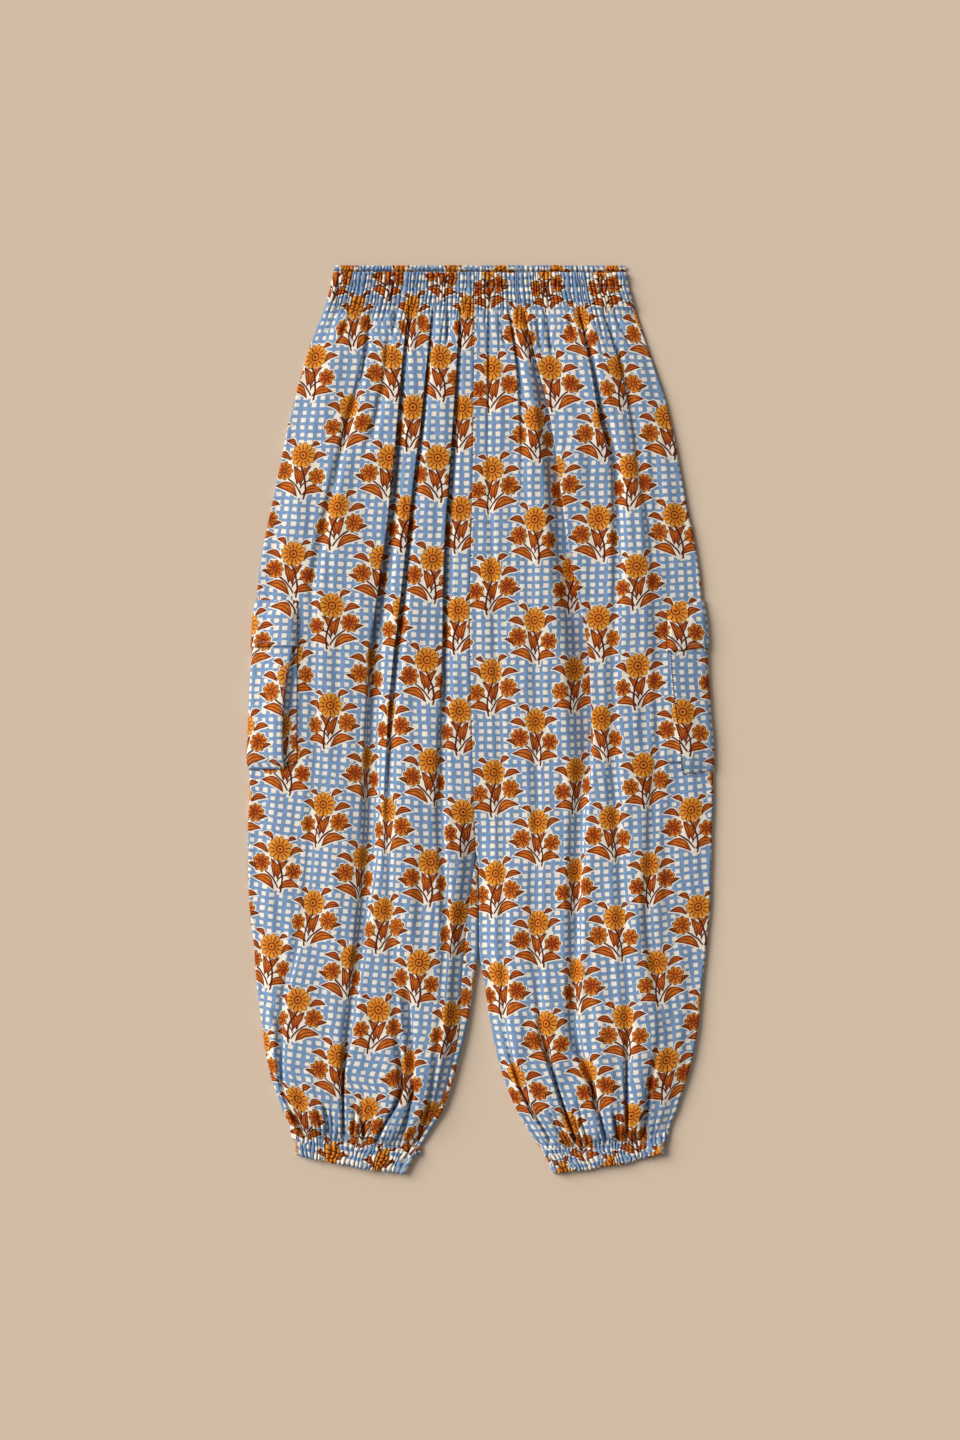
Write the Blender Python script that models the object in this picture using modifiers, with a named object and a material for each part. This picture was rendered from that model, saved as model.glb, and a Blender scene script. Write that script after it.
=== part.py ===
"""Cuffed wide-leg trousers with an elastic waist and bellows side pockets, laid flat.

The cloth lies on a flat surface at z = 0, front side up, with the waist towards +Y.
"left" is -X and "right" is +X, as seen from the front. All tables hold millimetres.
Each piece that is cut and sewn is one object, a wall of cloth worked out from sections.
"""
import math
from bisect import bisect_right
from collections import namedtuple

import bpy

MM = 0.001

# Cloth and seams
CLOTH = 1.2                    # wall of one layer
CASING = 1.5                   # wall of the casings, where cloth is turned over elastic
SEAM = 0.3                     # space between two pieces at a seam
LAYER = CLOTH + SEAM           # from the middle of a layer to the middle of the next one
LAID_ON = LAYER + 0.4          # the same for a pocket piece that lies on a pleated panel
ON_SURFACE = CLOTH / 2         # middle of the layer that lies on the surface
VALLEY = ON_SURFACE + LAYER    # middle of the front panel where it lies on the back panel
SIDE_FOOT = 1.65               # lower edge of the front panel's side, just above the back one
CUFF_SEAM = 0.9                # from a leg's lower edge to its cuff, where the walls lean

# Heights of the main lines, measured up the garment from its middle
WAIST_SEAM = 456.0
FRONT_WAIST = 490.6
BACK_WAIST = 498.8
CROTCH = -150.0

# How the front panel rounds over at the side and how wide the flat of a seam is
SIDE_ROLL = 9.0
SIDE_RISE = 0.8                # height of the rounded side, as a share of the crown
ROLL_ANGLES = (0, 25, 50, 75)
SEAM_FLAT = 2.0
SEAM_RISE = 0.62               # height of the middle seam, as a share of the crown

# A pleat rises from its valley over RISE of its width and falls to the next over FALL
RISE = 0.3
FALL = 0.45
PLEAT_STEPS = (0, 0.1, 0.3, 0.65, 0.87)

# Near the waist and the cuffs each pleat is split by a smaller valley
SPLIT_AT = 0.65                # its place, as a share of the pleat's width
SPLIT_WIDTH = 0.26
SPLIT_DEPTH = 0.55             # its depth, as a share of the pleat's height
WAIST_SPLIT_END = 385.0        # height where it has faded below the waist
CUFF_SPLIT_END = -375.0        # and above the cuffs
SPLIT_FADE = 65.0
ROWS_TO_CROTCH = 14
ROWS_TO_CUFF = 10

INWARD = {"left": 1, "right": -1}

# Gathers of the casings
WAIST_GATHERS = 48
CUFF_GATHERS = 18
WAIST_LEVEL = 5.6              # middle of the front casing
BACK_WAIST_TOP = 2.0           # upper side of the back casing, between its gathers
CUFF_LEVEL = 6.2               # middle of the upper side of a cuff
CASING_ROLL = 4.0

BLUE = (0.22, 0.35, 0.60, 1)
LIGHT_BLUE = (0.30, 0.43, 0.66, 1)
DEEP_BLUE = (0.13, 0.22, 0.44, 1)


class Table:
    """Rows with named columns, read at any height by a curve that never overshoots."""

    def __init__(self, names, rows):
        rows = sorted(rows)
        self.columns = {name: [row[i] for row in rows] for i, name in enumerate(names)}
        self.heights = self.columns[names[0]]

    def at(self, name, height):
        return steady_curve(self.heights, self.columns[name], height)


def steady_curve(xs, ys, x):
    """Value at x of the monotone cubic through the points xs, ys."""
    x = min(max(x, xs[0]), xs[-1])
    i = min(bisect_right(xs, x), len(xs) - 1) - 1
    slopes = [(ys[k + 1] - ys[k]) / (xs[k + 1] - xs[k]) for k in range(len(xs) - 1)]

    def tangent(k):
        if k in (0, len(xs) - 1):
            return slopes[min(k, len(slopes) - 1)]
        before, after = slopes[k - 1], slopes[k]
        return 0 if before * after <= 0 else 2 * before * after / (before + after)

    span = xs[i + 1] - xs[i]
    t = (x - xs[i]) / span
    return ((2 * t**3 - 3 * t**2 + 1) * ys[i] + (t**3 - 2 * t**2 + t) * span * tangent(i)
            + (3 * t**2 - 2 * t**3) * ys[i + 1] + (t**3 - t**2) * span * tangent(i + 1))


# Outline of the legs from the waist seam down. Each row is a section: the two side edges,
# the left leg's inner seam and inner fold, the right leg's inner fold, and the height of
# the pleats' crowns above the surface.
SECTIONS = Table(
    ("height", "left_side", "left_seam", "left_inner", "right_inner", "right_side", "crown"),
    (
        (456, -170.0, -5.3, -5.3, -5.0, 169.0, 6.4),
        (411, -187.0, -5.3, -5.3, -5.0, 183.5, 9.5),
        (345, -206.0, -5.3, -5.3, -5.0, 205.5, 11.5),
        (257, -224.7, -5.3, -5.3, -5.0, 223.0, 12.5),
        (147, -244.5, -5.3, -5.3, -5.0, 242.8, 12.5),
        (15, -251.0, -5.3, -5.3, -5.0, 251.0, 12.5),
        (-73, -253.5, -5.3, -5.3, -5.0, 256.0, 12.5),
        (-140, -255.5, -5.3, -5.3, -5.0, 254.5, 12.5),
        (-163, -255.5, -7.2, -2.2, -1.8, 253.8, 12.5),
        (-204, -254.0, -12.4, -2.1, -1.7, 253.0, 12.5),
        (-249, -249.0, -17.0, -2.0, -1.4, 248.5, 12.5),
        (-293, -245.6, -20.6, -7.5, 5.2, 244.0, 13.0),
        (-337, -240.0, -22.0, -14.6, 11.8, 239.5, 14.0),
        (-381, -233.5, -31.0, -25.6, 21.7, 230.7, 14.5),
        (-425, -219.0, -44.5, -38.8, 38.2, 217.5, 13.5),
        (-447, -210.4, -57.5, -52.0, 50.3, 209.0, 11.5),
        (-476, -204.5, -75.0, -69.6, 70.1, 204.5, 7.4),
    ),
)

# Fold lines are the valleys between pleats, listed from the side of a leg to its middle.
# x is where one runs and depth how far it goes down (1 lies on the back panel), both at
# each of FOLD_HEIGHTS. ridge is the height of the pleat on its side, against the crown.
FOLD_HEIGHTS = (-465, -360, -240, -60, 130, 300, 456)
Fold = namedtuple("Fold", "name ridge x depth")
FOLDS = {
    "left": (
        Fold("side", 0.92, (-185, -198, -192, -179, -183, -149, -120),
             (0.8, 0.4, 0.2, 0.2, 0.3, 0.45, 0.5)),
        Fold("outer", 1.00, (-150, -144, -126, -117, -107, -88, -78),
             (1.0, 0.7, 0.5, 0.6, 0.85, 1.0, 0.9)),
        Fold("centre", 0.90, (-118, -106, -97, -97, -84, -66, -54),
             (0.9, 0.4, 0.15, 0.3, 0.8, 0.9, 0.9)),
        Fold("inner", 1.05, (-96, -71, -44, -42, -35.5, -28, -22),
             (0.9, 0.8, 0.4, 0.5, 0.55, 0.8, 0.9)),
    ),
    "right": (
        Fold("side", 0.90, (181, 197, 203, 197, 186, 172, 148),
             (0.8, 0.4, 0.2, 0.1, 0.2, 0.4, 0.6)),
        Fold("outer", 1.00, (161, 170, 180, 173, 158, 140.5, 121),
             (0.9, 0.4, 0.2, 0.4, 0.5, 0.9, 0.8)),
        Fold("centre", 1.06, (127, 105, 99, 107.5, 91, 70, 60),
             (0.9, 0.6, 0.5, 0.7, 1.0, 0.9, 0.9)),
        Fold("inner", 0.96, (107, 71, 61, 66, 58, 46, 33),
             (1.0, 0.8, 0.3, 0.3, 0.3, 0.5, 0.8)),
        Fold("middle", 0.88, (90, 40, 26, 22, 15, 11, 8.5),
             (0.8, 0.4, 0.2, 0.15, 0.2, 0.4, 0.8)),
    ),
}
MIDDLE_RIDGE = 0.86            # height of the pleat next to the middle seam

# Cuff corners, as (x, y)
Cuff = namedtuple("Cuff", "side_top side_bottom middle_top middle_bottom")
CUFFS = {
    "left": Cuff((-204.8, -457.0), (-202.7, -478.0), (-69.6, -474.7), (-81.7, -498.8)),
    "right": Cuff((204.3, -459.3), (202.1, -476.5), (70.1, -475.8), (80.0, -498.8)),
}
CUFF_BELLY = 2.0               # how far a cuff's edges bow down between its corners

# Pocket faces. edge is the x of the free front edge, side and front are how far the face
# stands off the leg at its side and at that edge.
POCKET_COLUMNS = ("height", "edge", "side", "front")
POCKETS = {
    "left": Table(POCKET_COLUMNS, (
        (110, -203.5, 1.9, 3.8), (78, -205.5, 2.8, 4.6), (45, -211.5, 3.4, 5.4),
        (15, -214.8, 4.4, 6.2), (-12, -216.4, 5.4, 6.2), (-32, -215.5, 6.2, 5.4),
        (-57, -213.7, 5.0, 4.0))),
    "right": Table(POCKET_COLUMNS, (
        (110, 206.5, 1.9, 3.8), (78, 208.0, 2.4, 4.2), (45, 210.0, 2.8, 5.0),
        (15, 213.3, 3.2, 5.4), (-12, 217.0, 3.4, 5.4), (-32, 219.2, 3.4, 5.0),
        (-60, 221.9, 3.0, 4.0))),
}
# Ends of a pocket's lines, first at the side of the leg and then at its front end
PocketLines = namedtuple("PocketLines", "stitch flap_top flap_bottom face_bottom")
POCKET_LINES = {
    "left": PocketLines(-201.0, (131.0, 130.4), (79.5, 79.8), (-54.5, -54.5)),
    "right": PocketLines(204.6, (131.5, 119.4), (78.7, 74.3), (-55.6, -59.9)),
}
FACE_TOP = 97.0                # the face starts here, under the flap
GUSSET_BOTTOM = -47.0
UNDER_EDGE = 1.2               # how far the gusset reaches under the face's edge
OVERLAP = 0.8                  # how far the flap reaches past the gusset's line of stitches
FLAP_CLEAR = LAYER + 0.3       # from the middle of the face to the middle of the flap


def blend(a, b, share):
    return a + (b - a) * share


def ease(t):
    """0 below 0, 1 above 1, and a soft step between."""
    t = min(max(t, 0), 1)
    return t * t * (3 - 2 * t)


# ---------------------------------------------------------------- surfaces to solids

def new_object(name, verts, faces, wall, colour, collection):
    """Cloth object: an open surface in millimetres, given its wall by Solidify."""
    mesh = bpy.data.meshes.new(name)
    mesh.from_pydata([[c * MM for c in v] for v in verts], [], faces)
    obj = bpy.data.objects.new(name, mesh)
    collection.objects.link(obj)
    if wall:
        shell = obj.modifiers.new("Wall", "SOLIDIFY")
        shell.thickness = wall * MM
        shell.offset = 0
    mesh.materials.append(cloth_material(name, colour))
    mesh.shade_smooth()
    mesh.set_sharp_from_angle(angle=math.radians(50))
    return obj


def cloth_material(name, colour):
    material = bpy.data.materials.new(name)
    material.use_nodes = True
    shader = material.node_tree.nodes["Principled BSDF"]
    shader.inputs["Base Color"].default_value = colour
    shader.inputs["Roughness"].default_value = 0.9
    shader.inputs["Metallic"].default_value = 0
    material.diffuse_color = colour
    return material


class Surface:
    """Points and faces of a sheet. Points at the same place become one."""

    def __init__(self):
        self.verts = []
        self.faces = []
        self.known = {}

    def point(self, place):
        key = tuple(round(c, 4) for c in place)
        if key not in self.known:
            self.known[key] = len(self.verts)
            self.verts.append(place)
        return self.known[key]

    def loft(self, rows, closed=False):
        """Join each row of points to the next one."""
        indices = [[self.point(p) for p in row] for row in rows]
        for upper, lower in zip(indices, indices[1:]):
            last = len(upper) if closed else len(upper) - 1
            for j in range(last):
                k = (j + 1) % len(upper)
                self.faces.append((upper[j], lower[j], lower[k], upper[k]))
        return self


# ---------------------------------------------------------------- the shape of a leg

def cuff_line(leg, x):
    """Height of the seam between a leg and its cuff, at x."""
    cuff = CUFFS[leg]
    (x0, y0), (x1, y1) = cuff.side_top, cuff.middle_top
    share = (x - x0) / (x1 - x0)
    return blend(y0, y1, share) - CUFF_BELLY * 4 * share * (1 - share)


def row_shares():
    """Shares of the way down a leg at which its sections stand, with one at the crotch."""
    crotch = (WAIST_SEAM - CROTCH) / (WAIST_SEAM - CUFFS["left"].middle_top[1])
    upper = [crotch * (k / ROWS_TO_CROTCH) ** 1.2 for k in range(ROWS_TO_CROTCH)]
    lower = [blend(crotch, 1, math.sin(k / ROWS_TO_CUFF * math.pi / 2) ** 1.15)
             for k in range(ROWS_TO_CUFF + 1)]
    return upper + lower


def half_seam(name, height):
    """Half a seam's width measured along x, where the seam line may slant."""
    step = 2.0
    lean = (SECTIONS.at(name, height + step) - SECTIONS.at(name, height - step)) / (2 * step)
    return SEAM / 2 * (1 + 1.6 * lean * lean)


def settled(leg, share, place):
    """Point of a row that is share of the way down a leg, tilted to the line of the cuff.

    place gives (x, z) at a height, and the height depends on x, so it is found in turns."""
    height = blend(WAIST_SEAM, CUFFS[leg].middle_top[1], share)
    for _ in range(6):
        x, z = place(height)
        height = blend(WAIST_SEAM - SEAM, cuff_line(leg, x) + CUFF_SEAM, share)
    return x, height, z


def inner_turn(height):
    """0 above the crotch, 1 below it, where the inner leg edge turns down."""
    return ease((CROTCH + 8 - height) / 26)


def split_depth(height):
    """How much of its height a pleat loses in the smaller valley, at a height."""
    return SPLIT_DEPTH * (ease((height - WAIST_SPLIT_END) / SPLIT_FADE)
                          + ease((CUFF_SPLIT_END - height) / SPLIT_FADE))


def pleat(t, top, low_start, low_end, split):
    """Height across one pleat, from the valley at t = 0 to the one at t = 1."""
    small_valley = split * (top - VALLEY) * max(0, 1 - abs(t - SPLIT_AT) / SPLIT_WIDTH)
    return (top - (top - low_start) * (1 - ease(t / RISE))
            - (top - low_end) * (1 - ease((1 - t) / FALL)) - small_valley)


def fold_lines(leg, height):
    """Places, valley heights and ridge shares across the front panel, side to middle."""
    inward = INWARD[leg]
    crown = SECTIONS.at("crown", height)
    side = SECTIONS.at(leg + "_side", height) + inward * CLOTH / 2
    lines = [side + inward * SIDE_ROLL]
    lows = [SIDE_RISE * crown]
    for fold in FOLDS[leg]:
        lines.append(steady_curve(FOLD_HEIGHTS, fold.x, height))
        depth = steady_curve(FOLD_HEIGHTS, fold.depth, height)
        lows.append(blend(0.9 * crown, VALLEY, depth))
    if leg == "left":
        edge = SECTIONS.at("left_seam", height) - half_seam("left_seam", height)
        lines.append(edge - SEAM_FLAT)
    else:
        edge = (SECTIONS.at("right_inner", height) + half_seam("right_inner", height)
                + inner_turn(height) * CLOTH / 2)
        lines.append(edge + SIDE_ROLL)
    lows.append(SEAM_RISE * crown)
    tops = [fold.ridge * crown for fold in FOLDS[leg]] + [MIDDLE_RIDGE * crown]
    return side, edge, lines, lows, tops


def rolled(edge, inward, angle, top, foot=SIDE_FOOT):
    """Point on a rounded edge: angle 0 is its foot and 90 its top, in degrees."""
    turn = math.radians(angle)
    return (edge + inward * SIDE_ROLL * (1 - math.cos(turn)),
            top - (top - foot) * (1 - math.sin(turn)))


def front_section(leg, height):
    """Points (x, z) across the front panel at a height, from the side to the middle."""
    inward = INWARD[leg]
    side, edge, lines, lows, tops = fold_lines(leg, height)
    points = [rolled(side, inward, angle, lows[0]) for angle in ROLL_ANGLES]
    for i, top in enumerate(tops):
        for t in PLEAT_STEPS:
            points.append((blend(lines[i], lines[i + 1], t),
                           pleat(t, top, lows[i], lows[i + 1], split_depth(height))))
    points.append((lines[-1], lows[-1]))
    if leg == "left":
        points.append((edge, lows[-1]))
    else:
        foot = blend(lows[-1], SIDE_FOOT, inner_turn(height))
        points += [rolled(edge, -inward, angle, lows[-1], foot)
                   for angle in reversed(ROLL_ANGLES)]
    return points


def rows_of(leg, section, shares):
    """Rows of settled points, one for each share of the way down a leg."""
    return [[settled(leg, share, lambda height: section(leg, height)[column])
             for column in range(len(section(leg, CROTCH)))] for share in shares]


def front_leg(leg, collection):
    surface = Surface().loft(rows_of(leg, front_section, row_shares()))
    return new_object("front_leg_" + leg, surface.verts, surface.faces, CLOTH, BLUE,
                      collection)


# ---------------------------------------------------------------- back panels

def flat_section(leg, height):
    """Points across a back panel where it lies on the surface, from the side inwards."""
    side = SECTIONS.at(leg + "_side", height)
    if leg == "left" and below_crotch(height):
        inner = turned_section(leg, height)[0][0]
    else:
        name = leg + "_inner"
        inner = SECTIONS.at(name, height) - INWARD[leg] * half_seam(name, height)
    return [(x, ON_SURFACE) for x in (side, blend(side, inner, 0.5), inner)]


def below_crotch(height):
    return height < CROTCH + 5


def turned_section(leg, height):
    """Points of the left back panel as it turns round the inner leg and back on top."""
    seam = SECTIONS.at(leg + "_seam", height)
    edge = SECTIONS.at(leg + "_inner", height)
    half = min(3.0, (edge - seam) / 2)
    inner = edge - half_seam(leg + "_inner", height) - CLOTH / 2 - half
    top = SEAM_RISE * SECTIONS.at("crown", height)
    middle = (top + ON_SURFACE) / 2
    points = [(inner, ON_SURFACE)]
    for angle in (-45, 0, 45, 90):
        turn = math.radians(angle)
        points.append((inner + half * math.cos(turn),
                       middle + (top - middle) * math.sin(turn)))
    points.append((seam + half_seam(leg + "_seam", height), top))
    return points


def back_leg(leg, collection):
    """Flat on the surface. The left one also turns round the inner leg as a strip."""
    shares = row_shares()
    surface = Surface().loft(rows_of(leg, flat_section, shares))
    if leg == "left":
        surface.loft(rows_of(leg, turned_section, shares[ROWS_TO_CROTCH:]))
    return new_object("back_leg_" + leg, surface.verts, surface.faces, CLOTH, DEEP_BLUE,
                      collection)


# ---------------------------------------------------------------- gathered casings

def gathers(count, seed, profile):
    """Gathers as (share of the way along, lift), unevenly wide and high.

    profile gives each gather's points as (share of its width, lift)."""
    widths = [1 + 0.28 * math.sin(2.4 * i + seed) for i in range(count)]
    total = sum(widths)
    points = []
    start = 0
    for i, width in enumerate(widths):
        tall = 0.8 + 0.2 * math.sin(1.7 * i + 2 * seed)
        points += [((start + part * width) / total, lift * tall) for part, lift in profile]
        start += width
    return points


ROUND_GATHER = ((0, -1), (0.3, 1), (0.62, 0.8))
PLAIN_GATHER = ((0, -1), (0.5, 1))

# Rows of the front waist casing: a heading, the line of stitches that pinches it, and the
# elastic. wave is the gathers' half height and lift raises the row.
BAND_COLUMNS = ("height", "wave", "lift")
FRONT_BAND = ((FRONT_WAIST, 1.1, 0.3), (482, 1.1, 0.5), (474.7, 0.55, -0.6),
              (465, 0.9, 0.3), (WAIST_SEAM + SEAM, 0.9, 0.1))
BAND_ENDS = Table(("height", "left", "right"), (
    (WAIST_SEAM, -170.0, 169.0), (474.7, -165.0, 163.6), (BACK_WAIST, -159.5, 159.2)))


def waistband_front(collection):
    waves = gathers(WAIST_GATHERS, 0.6, ROUND_GATHER)
    foot = BACK_WAIST_TOP + SEAM + 0.4
    rows = []
    for height, wave, lift in FRONT_BAND:
        left = BAND_ENDS.at("left", height) + CASING / 2
        right = BAND_ENDS.at("right", height) - CASING / 2
        level = WAIST_LEVEL + lift
        ends = [rolled_casing(0, 1, angle, level, foot) for angle in (0, 30, 60)]
        row = [(left + x, height, z) for x, z in ends]
        for share, up in waves:
            x = blend(left + CASING_ROLL, right - CASING_ROLL, share)
            row.append((x, height, level + wave * up))
        row.append((right - CASING_ROLL, height, level))
        row += [(right - x, height, z) for x, z in reversed(ends)]
        rows.append(row)
    surface = Surface().loft(rows)
    return new_object("waistband_front", surface.verts, surface.faces, CASING, LIGHT_BLUE,
                      collection)


def rolled_casing(edge, inward, angle, top, foot):
    """Point on a casing's rounded end, like rolled() but tighter."""
    turn = math.radians(angle)
    return (edge + inward * CASING_ROLL * (1 - math.cos(turn)),
            top - (top - foot) * (1 - math.sin(turn)))


def waistband_back(collection):
    """Flat underneath, gathered on its upper side, which is the inside of the trousers."""
    waves = gathers(WAIST_GATHERS, 2.1, PLAIN_GATHER)
    flat_end = 2.5 * CASING_ROLL
    upper = []
    for height, wave in ((BACK_WAIST, 0.7), (486.0, 0.7), (WAIST_SEAM + SEAM, 0.5)):
        left = BAND_ENDS.at("left", height)
        right = BAND_ENDS.at("right", height)
        row = [(left, height, CASING)]
        row += [(blend(left + flat_end, right - flat_end, share), height,
                 BACK_WAIST_TOP + wave * up) for share, up in waves]
        row += [(right - flat_end, height, BACK_WAIST_TOP), (right, height, CASING)]
        upper.append(row)
    surface = Surface().loft(upper)
    return flat_bottomed("waistband_back", surface, LIGHT_BLUE, collection)


def flat_bottomed(name, surface, colour, collection):
    """Solid between a surface and the floor: a copy of its points at z = 0, and a rim."""
    upper = list(surface.verts)
    count = len(upper)
    verts = upper + [(x, y, 0) for x, y, z in upper]
    faces = list(surface.faces)
    faces += [tuple(i + count for i in reversed(face)) for face in surface.faces]
    directed = {(a, b) for face in surface.faces for a, b in zip(face, face[1:] + face[:1])}
    rim = [(a, b) for a, b in directed if (b, a) not in directed]
    faces += [(b, a, a + count, b + count) for a, b in sorted(rim)]
    return new_object(name, verts, faces, 0, colour, collection)


def cuff(leg, collection):
    """Elastic cuff: a flattened ring, gathered on top and flat underneath."""
    corners = CUFFS[leg]
    waves = gathers(CUFF_GATHERS, 1.3 if leg == "left" else 3.4, ROUND_GATHER)
    bottom = CASING / 2
    rows = []
    for down, wave in ((0, 0.9), (0.45, 0.9), (1, 1.0)):
        side = [blend(corners.side_top[i], corners.side_bottom[i], down) for i in (0, 1)]
        middle = [blend(corners.middle_top[i], corners.middle_bottom[i], down)
                  for i in (0, 1)]
        width = abs(middle[0] - side[0])
        end = (CASING_ROLL + CASING / 2) / width
        centre = (CUFF_LEVEL + bottom) / 2
        half = (CUFF_LEVEL - bottom) / 2
        ring = [(blend(end, 1 - end, share), CUFF_LEVEL + wave * up) for share, up in waves]
        ring.append((1 - end, CUFF_LEVEL))
        arc = [(CASING_ROLL * math.cos(math.radians(a)) / width,
                half * math.sin(math.radians(a))) for a in (45, 0, -45)]
        ring += [(1 - end + x, centre + z) for x, z in arc]
        ring += [(1 - end, bottom), (0.5, bottom), (end, bottom)]
        ring += [(end - x, centre + z) for x, z in reversed(arc)]
        row = []
        for share, z in ring:
            belly = CUFF_BELLY * 4 * share * (1 - share)
            row.append((blend(side[0], middle[0], share),
                        blend(side[1], middle[1], share) - belly, z))
        rows.append(row)
    surface = Surface().loft(rows, closed=True)
    return new_object("cuff_" + leg, surface.verts, surface.faces, CASING, LIGHT_BLUE,
                      collection)


# ---------------------------------------------------------------- bellows pockets

def skin(leg, height, along):
    """Point (x, z) on the front panel near its side.

    along 0 is the foot of the side, 1 the top of its rounded edge, 2 the first valley."""
    side, _, lines, lows, tops = fold_lines(leg, height)
    if along < 1:
        return rolled(side, INWARD[leg], 90 * along, lows[0])
    t = along - 1
    return blend(lines[0], lines[1], t), pleat(t, tops[0], lows[0], lows[1], 0)


def along_at(leg, height, x):
    """The value of along, past the rounded edge, where the panel is at x."""
    _, _, lines, _, _ = fold_lines(leg, height)
    return 1 + (x - lines[0]) / (lines[1] - lines[0])


def moved_out(leg, height, along, distance):
    """Point of the panel moved out of it by a distance."""
    step = 0.02
    x, z = skin(leg, height, along)
    x0, z0 = skin(leg, height, max(along - step, 0))
    x1, z1 = skin(leg, height, along + step)
    run, rise = x1 - x0, z1 - z0
    length = math.hypot(run, rise)
    inward = INWARD[leg]
    return (x - inward * distance * rise / length, height,
            z + inward * distance * run / length)


def stand_off(leg, height, share):
    """How far a pocket face is from the panel, share of the way from side to edge."""
    table = POCKETS[leg]
    return blend(table.at("side", height), table.at("front", height), ease(share))


def face_steps(leg, height):
    """Places of a pocket's columns along the panel, from its side to its free front edge."""
    edge = along_at(leg, height, POCKETS[leg].at("edge", height))
    return [angle / 90 for angle in ROLL_ANGLES + (90,)] + [1.1, 1.3, blend(1.3, edge, 0.6),
                                                            edge]


def pocket_face(leg, collection):
    """Face of the pocket: from the surface up the side of the leg to its free edge."""
    bottom = POCKET_LINES[leg].face_bottom
    rows = []
    for down in (0, 0.2, 0.4, 0.6, 0.8, 1):
        row = []
        steps = face_steps(leg, blend(FACE_TOP, bottom[1], down))
        for along in steps:
            share = along / steps[-1]
            height = blend(FACE_TOP, blend(bottom[0], bottom[1], share), down)
            row.append(moved_out(leg, height, along, stand_off(leg, height, share)))
        x, height, _ = row[0]
        rows.append([(x, height, 0.02)] + row)
    surface = Surface().loft(rows)
    return new_object("pocket_face_" + leg, surface.verts, surface.faces, CLOTH, LIGHT_BLUE,
                      collection)


def pocket_gusset(leg, collection):
    """Strip from under the face's edge down to the panel, where it is stitched."""
    lines = POCKET_LINES[leg]
    inward = INWARD[leg]
    rows = []
    for down in (0, 0.2, 0.4, 0.6, 0.8, 1):
        height = blend(FACE_TOP - 1, GUSSET_BOTTOM, down)
        edge_x = POCKETS[leg].at("edge", height)
        raised = POCKETS[leg].at("front", height) - LAYER - 0.1
        width = abs(lines.stitch - edge_x)
        strip = ((edge_x - inward * UNDER_EDGE, raised),
                 (edge_x + inward * 0.3 * width, blend(raised, LAID_ON, 0.45)),
                 (edge_x + inward * 0.75 * width, LAID_ON),
                 (lines.stitch, LAID_ON))
        rows.append([moved_out(leg, height, along_at(leg, height, x), distance)
                     for x, distance in strip])
    surface = Surface().loft(rows)
    return new_object("pocket_gusset_" + leg, surface.verts, surface.faces, CLOTH,
                      DEEP_BLUE, collection)


def pocket_flap(leg, collection):
    """Flap, stitched along its top and lying over the face and the gusset."""
    lines = POCKET_LINES[leg]
    rows = []
    for down in (0, 0.2, 0.42, 0.7, 1):
        middle_height = blend(lines.flap_top[1], lines.flap_bottom[1], down)
        steps = face_steps(leg, min(middle_height, FACE_TOP))
        end = along_at(leg, middle_height, lines.stitch + INWARD[leg] * OVERLAP)
        row = []
        for along in steps + [end]:
            share = along / end
            height = blend(blend(*lines.flap_top, share), blend(*lines.flap_bottom, share),
                           down)
            if along < end:
                under = stand_off(leg, min(height, FACE_TOP), along / steps[-1])
            else:
                under = LAID_ON
            row.append(moved_out(leg, height, along,
                                 blend(LAID_ON, under + FLAP_CLEAR, ease(down / 0.42))))
        rows.append(row)
    surface = Surface().loft(rows)
    return new_object("pocket_flap_" + leg, surface.verts, surface.faces, CLOTH, LIGHT_BLUE,
                      collection)


# ---------------------------------------------------------------- the whole garment

def clear_scene():
    for obj in list(bpy.data.objects):
        bpy.data.objects.remove(obj, do_unlink=True)


def main():
    clear_scene()
    collection = bpy.data.collections.new("wide_leg_trousers")
    bpy.context.scene.collection.children.link(collection)
    for leg in INWARD:
        front_leg(leg, collection)
        back_leg(leg, collection)
        cuff(leg, collection)
        pocket_face(leg, collection)
        pocket_gusset(leg, collection)
        pocket_flap(leg, collection)
    waistband_front(collection)
    waistband_back(collection)


main()
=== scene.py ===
"""Dresses the cuffed wide-leg trousers: creased cloth, its print, the sewing and the studio.

Tables and lengths are in millimetres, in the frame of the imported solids: the waist is
towards +Y, "left" is -X and "right" is +X, seen from the front, and the floor is z = 0.
"""
import functools
import math
from collections import namedtuple

import bpy
import numpy as np
from bpy.props import FloatProperty, FloatVectorProperty, IntProperty, PointerProperty
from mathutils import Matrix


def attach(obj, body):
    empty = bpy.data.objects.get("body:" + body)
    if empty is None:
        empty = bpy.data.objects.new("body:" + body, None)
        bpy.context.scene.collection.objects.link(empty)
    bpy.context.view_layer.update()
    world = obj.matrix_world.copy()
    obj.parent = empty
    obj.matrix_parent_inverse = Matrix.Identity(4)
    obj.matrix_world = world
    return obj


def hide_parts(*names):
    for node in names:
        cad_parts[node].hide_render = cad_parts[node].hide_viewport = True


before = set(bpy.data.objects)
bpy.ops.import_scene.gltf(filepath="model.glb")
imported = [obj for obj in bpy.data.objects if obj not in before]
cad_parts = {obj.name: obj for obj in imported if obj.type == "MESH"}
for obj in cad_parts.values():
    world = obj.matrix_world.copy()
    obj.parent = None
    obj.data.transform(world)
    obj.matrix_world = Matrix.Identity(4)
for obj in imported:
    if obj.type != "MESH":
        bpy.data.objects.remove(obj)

bl_info = {
    "name": "Cuffed Trousers Dresser",
    "version": (1, 0, 0),
    "blender": (4, 5, 0),
    "location": "3D View > Sidebar > Trousers",
    "description": "Creased printed cloth, gathered casings and bellows pockets on the solids",
    "category": "Object",
}

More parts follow.
